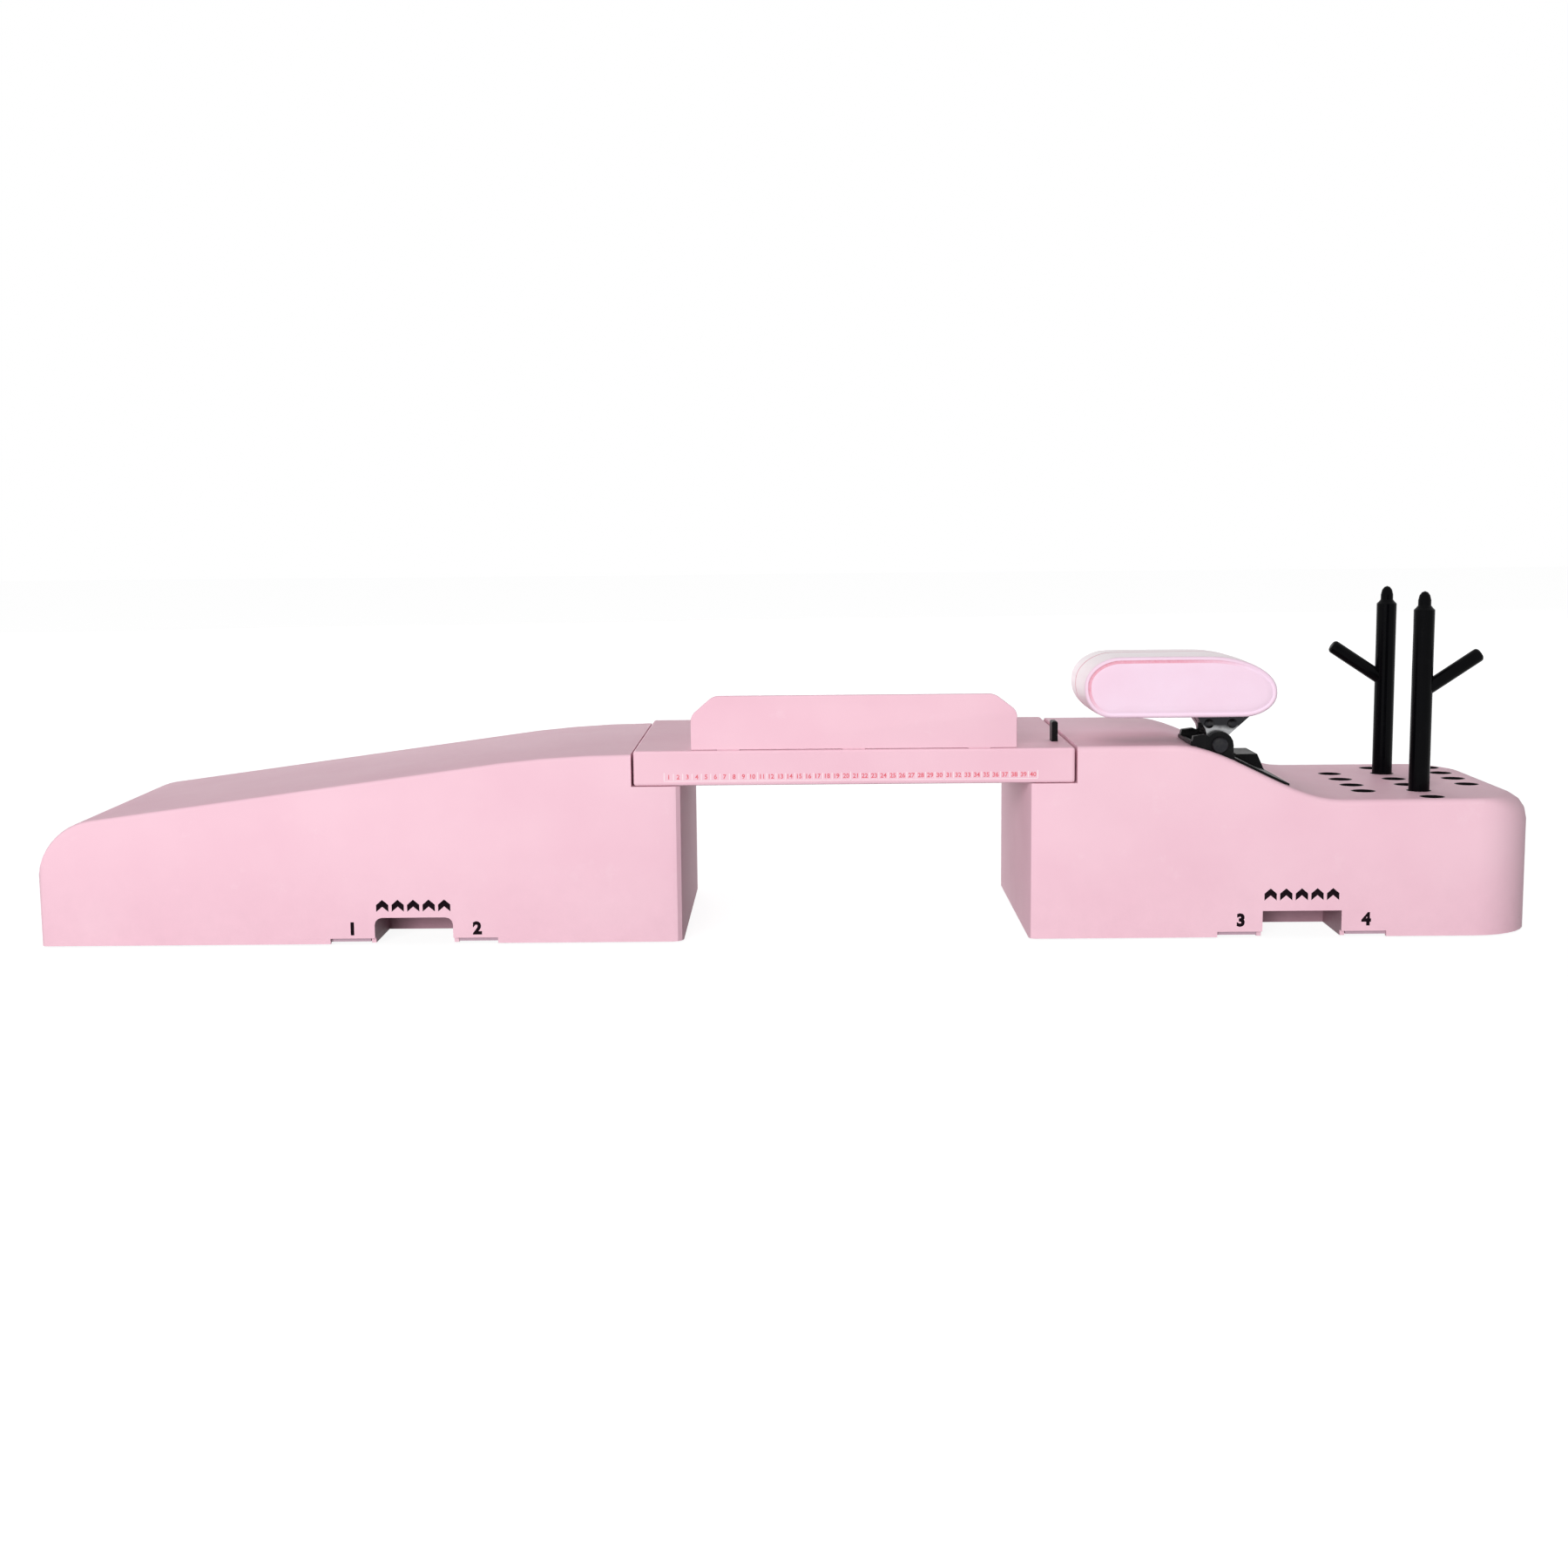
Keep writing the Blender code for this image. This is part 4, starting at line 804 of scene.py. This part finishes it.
# %% [markdown]
# ## Collars in the tool holes
# Each hole in the deck is lined with a black collar that stands just over the socket block below, so the hole
# looks black right up to the pink. A five-point profile spun round the hole's axis makes one collar.

# %% Collars in the tool holes
DECK_X = (0.31744, 0.34800, 0.38202)
DECK_ROWS = ((1, 5), (0, 6), (2, 6))
ROW_FIRST = -0.0707
ROW_PITCH = 0.0244
COLLAR_OUT = 0.0067
COLLAR_IN = 0.0060
COLLAR_EASE = 0.0003
COLLAR_TOP = 0.0754
COLLAR_LIFT = 0.0002
COLLAR_STEPS = 32
collar_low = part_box("tool_socket")[1].z + COLLAR_LIFT


def collar(bm, x, y):
    """One closed ring round a hole's axis."""
    profile = (
        (COLLAR_IN, collar_low),
        (COLLAR_OUT, collar_low),
        (COLLAR_OUT, COLLAR_TOP),
        (COLLAR_IN + COLLAR_EASE, COLLAR_TOP),
        (COLLAR_IN, COLLAR_TOP - COLLAR_EASE),
    )
    points = [bm.verts.new((x + r, y, z)) for r, z in profile]
    sides = [bm.edges.new((a, b)) for a, b in zip(points, points[1:] + points[:1])]
    bmesh.ops.spin(bm, geom=points + sides, cent=(x, y, 0.0), axis=(0.0, 0.0, 1.0), angle=2 * math.pi,
                   steps=COLLAR_STEPS, use_merge=True)


bm = bmesh.new()
for column, rows in enumerate(DECK_ROWS):
    for row in range(*rows):
        collar(bm, DECK_X[column], ROW_FIRST + ROW_PITCH * row)
bmesh.ops.remove_doubles(bm, verts=bm.verts, dist=CUT_DIST)
bmesh.ops.recalc_face_normals(bm, faces=bm.faces)
keep(bm, "hole_collars", black_satin, "base", smooth=False)

# %% [markdown]
# ## Ruler on the bed
# A fine scale is printed along the lower edge of the bed: a pale line every five millimetres and a red
# number between the lines. Printed ink is a film, so each mark is a very thin closed solid, half sunk in the
# face. Numbers come from a text object, made a mesh before it is placed.

# %% Ink finishes
INK_SHINE = 0.06
INK_SPREAD = 0.12
INK_GRAIN_DEPTH = 0.00002


def ink(name, base, faded, rough):
    """Printed ink with pin holes and a slightly faded film."""
    material, tree, shader = graph(name)
    where = coordinates(tree)
    fade = steer(tree, noise(tree, where, 700.0, 4.0, 0.7), 0.48, 0.72, 0.0, 0.8)
    tree.links.new(tint(tree, fade, base, faded), shader.inputs["Base Color"])
    gloss = steer(tree, noise(tree, where, 260.0), 0.3, 0.7, rough, rough + INK_SPREAD)
    tree.links.new(gloss, shader.inputs["Roughness"])
    relief(tree, shader, noise(tree, where, 2400.0, 2.0), INK_GRAIN_DEPTH, 0.5)
    shader.inputs["Specular IOR Level"].default_value = INK_SHINE
    return material


red_ink = ink("red_ink", (0.750, 0.150, 0.190), (0.830, 0.330, 0.380), rough=0.45)
pale_ink = ink("pale_ink", (0.920, 0.800, 0.830), (0.890, 0.690, 0.750), rough=0.45)
black_ink = ink("black_ink", (0.005, 0.002, 0.004), (0.020, 0.010, 0.014), rough=0.42)
print("inks: red, pale, black")

# %% Marks from text and bars
INK_FILM = 0.00004
FRONT_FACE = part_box("bridge_bed")[0].y


def stand_up(bm, verts, x, z):
    """Turns a flat mark upright on the front face, centred at x and z."""
    low = Vector([min(v.co[i] for v in verts) for i in range(3)])
    high = Vector([max(v.co[i] for v in verts) for i in range(3)])
    bmesh.ops.translate(bm, verts=verts, vec=-(low + high) / 2)
    bmesh.ops.rotate(bm, verts=verts, cent=(0, 0, 0), matrix=Matrix.Rotation(math.pi / 2, 3, "X"))
    bmesh.ops.translate(bm, verts=verts, vec=(x, FRONT_FACE, z))


def number(bm, digits, size, weight, x, z):
    """Adds printed digits."""
    text = bpy.data.curves.new("digits", "FONT")
    text.body = digits
    text.size = size
    text.offset = weight
    text.extrude = INK_FILM
    text.resolution_u = 3
    holder = bpy.data.objects.new("digits", text)
    bpy.context.scene.collection.objects.link(holder)
    graph_now = bpy.context.evaluated_depsgraph_get()
    made = bpy.data.meshes.new_from_object(holder.evaluated_get(graph_now))
    bpy.data.objects.remove(holder, do_unlink=True)
    before = set(bm.verts)
    bm.from_mesh(made)
    bpy.data.meshes.remove(made)
    loose = [v for v in bm.verts if v not in before]
    bmesh.ops.remove_doubles(bm, verts=loose, dist=INK_FILM / 20)
    stand_up(bm, [v for v in bm.verts if v not in before], x, z)


def bar(bm, width, height, x, z):
    """Adds a printed line."""
    made = bmesh.ops.create_cube(bm, size=1.0)["verts"]
    bmesh.ops.scale(bm, verts=made, vec=(width, height, INK_FILM * 2))
    stand_up(bm, made, x, z)


print("front face at", round(FRONT_FACE, 4))

# %% Ruler
RULER_X = -0.0660
RULER_STEP = 0.005
RULER_STEPS = 40
RULER_Z = 0.0908
DIGIT_H = 0.0034
DIGIT_WEIGHT = 0.00009
LINE_W = 0.0004
LINE_H = 0.0034
TENTH_LINE_H = 0.0046
BASE_LINE_H = 0.0003
BASE_LINE_DROP = 0.0023
bm = bmesh.new()
for step in range(RULER_STEPS + 1):
    tall = TENTH_LINE_H if step % 10 == 0 else LINE_H
    bar(bm, LINE_W, tall, RULER_X + RULER_STEP * step, RULER_Z)
ruler_length = RULER_STEP * RULER_STEPS
bar(bm, ruler_length, BASE_LINE_H, RULER_X + ruler_length / 2, RULER_Z - BASE_LINE_DROP)
keep(bm, "ruler_lines", pale_ink, "bridge", smooth=False)
bm = bmesh.new()
for step in range(RULER_STEPS):
    number(bm, str(step + 1), DIGIT_H, DIGIT_WEIGHT, RULER_X + RULER_STEP * (step + 0.5), RULER_Z)
bmesh.ops.recalc_face_normals(bm, faces=bm.faces)
keep(bm, "ruler_numbers", red_ink, "bridge", smooth=False)

# %% [markdown]
# ## Marks by the finger notches
# Bold black marks show where to lift. Upward chevrons stand in a row over each notch, with a plain number on
# either side. A chevron is six corners filled as two legs and extruded to an ink film.

# %% Marks by the finger notches
CHEVRON_W = 0.0066
CHEVRON_H = 0.0066
CHEVRON_ARM = 0.0038
CHEVRON_PITCH = 0.0084
CHEVRON_COUNT = 5
LABEL_SIZE = 0.0092
LABEL_WEIGHT = 0.00050
NOTCH_MARKS = (
    (-0.2030, 0.0219, ((-0.2364, 0.0094, "1"), (-0.1686, 0.0094, "2"))),
    (0.2766, 0.0243, ((0.2440, 0.0104, "3"), (0.3115, 0.0106, "4"))),
)


def chevron(bm, x, z):
    """Adds one upward chevron."""
    half = CHEVRON_W / 2
    top = CHEVRON_H / 2
    corners = ((-half, -top), (0.0, top - CHEVRON_ARM), (half, -top),
               (half, CHEVRON_ARM - top), (0.0, top), (-half, CHEVRON_ARM - top))
    points = [bm.verts.new((px, py, -INK_FILM)) for px, py in corners]
    left_leg = bm.faces.new((points[0], points[1], points[4], points[5]))
    right_leg = bm.faces.new((points[1], points[2], points[3], points[4]))
    made = bmesh.ops.extrude_face_region(bm, geom=[left_leg, right_leg])
    raised = [v for v in made["geom"] if isinstance(v, bmesh.types.BMVert)]
    bmesh.ops.translate(bm, verts=raised, vec=(0.0, 0.0, INK_FILM * 2))
    stand_up(bm, points + raised, x, z)


bm = bmesh.new()
for centre_x, centre_z, labels in NOTCH_MARKS:
    for place_in_row in range(CHEVRON_COUNT):
        chevron(bm, centre_x + CHEVRON_PITCH * (place_in_row - CHEVRON_COUNT // 2), centre_z)
    for label_x, label_z, digits in labels:
        number(bm, digits, LABEL_SIZE, LABEL_WEIGHT, label_x, label_z)
bmesh.ops.recalc_face_normals(bm, faces=bm.faces)
keep(bm, "lift_marks", black_ink, "base", smooth=False)
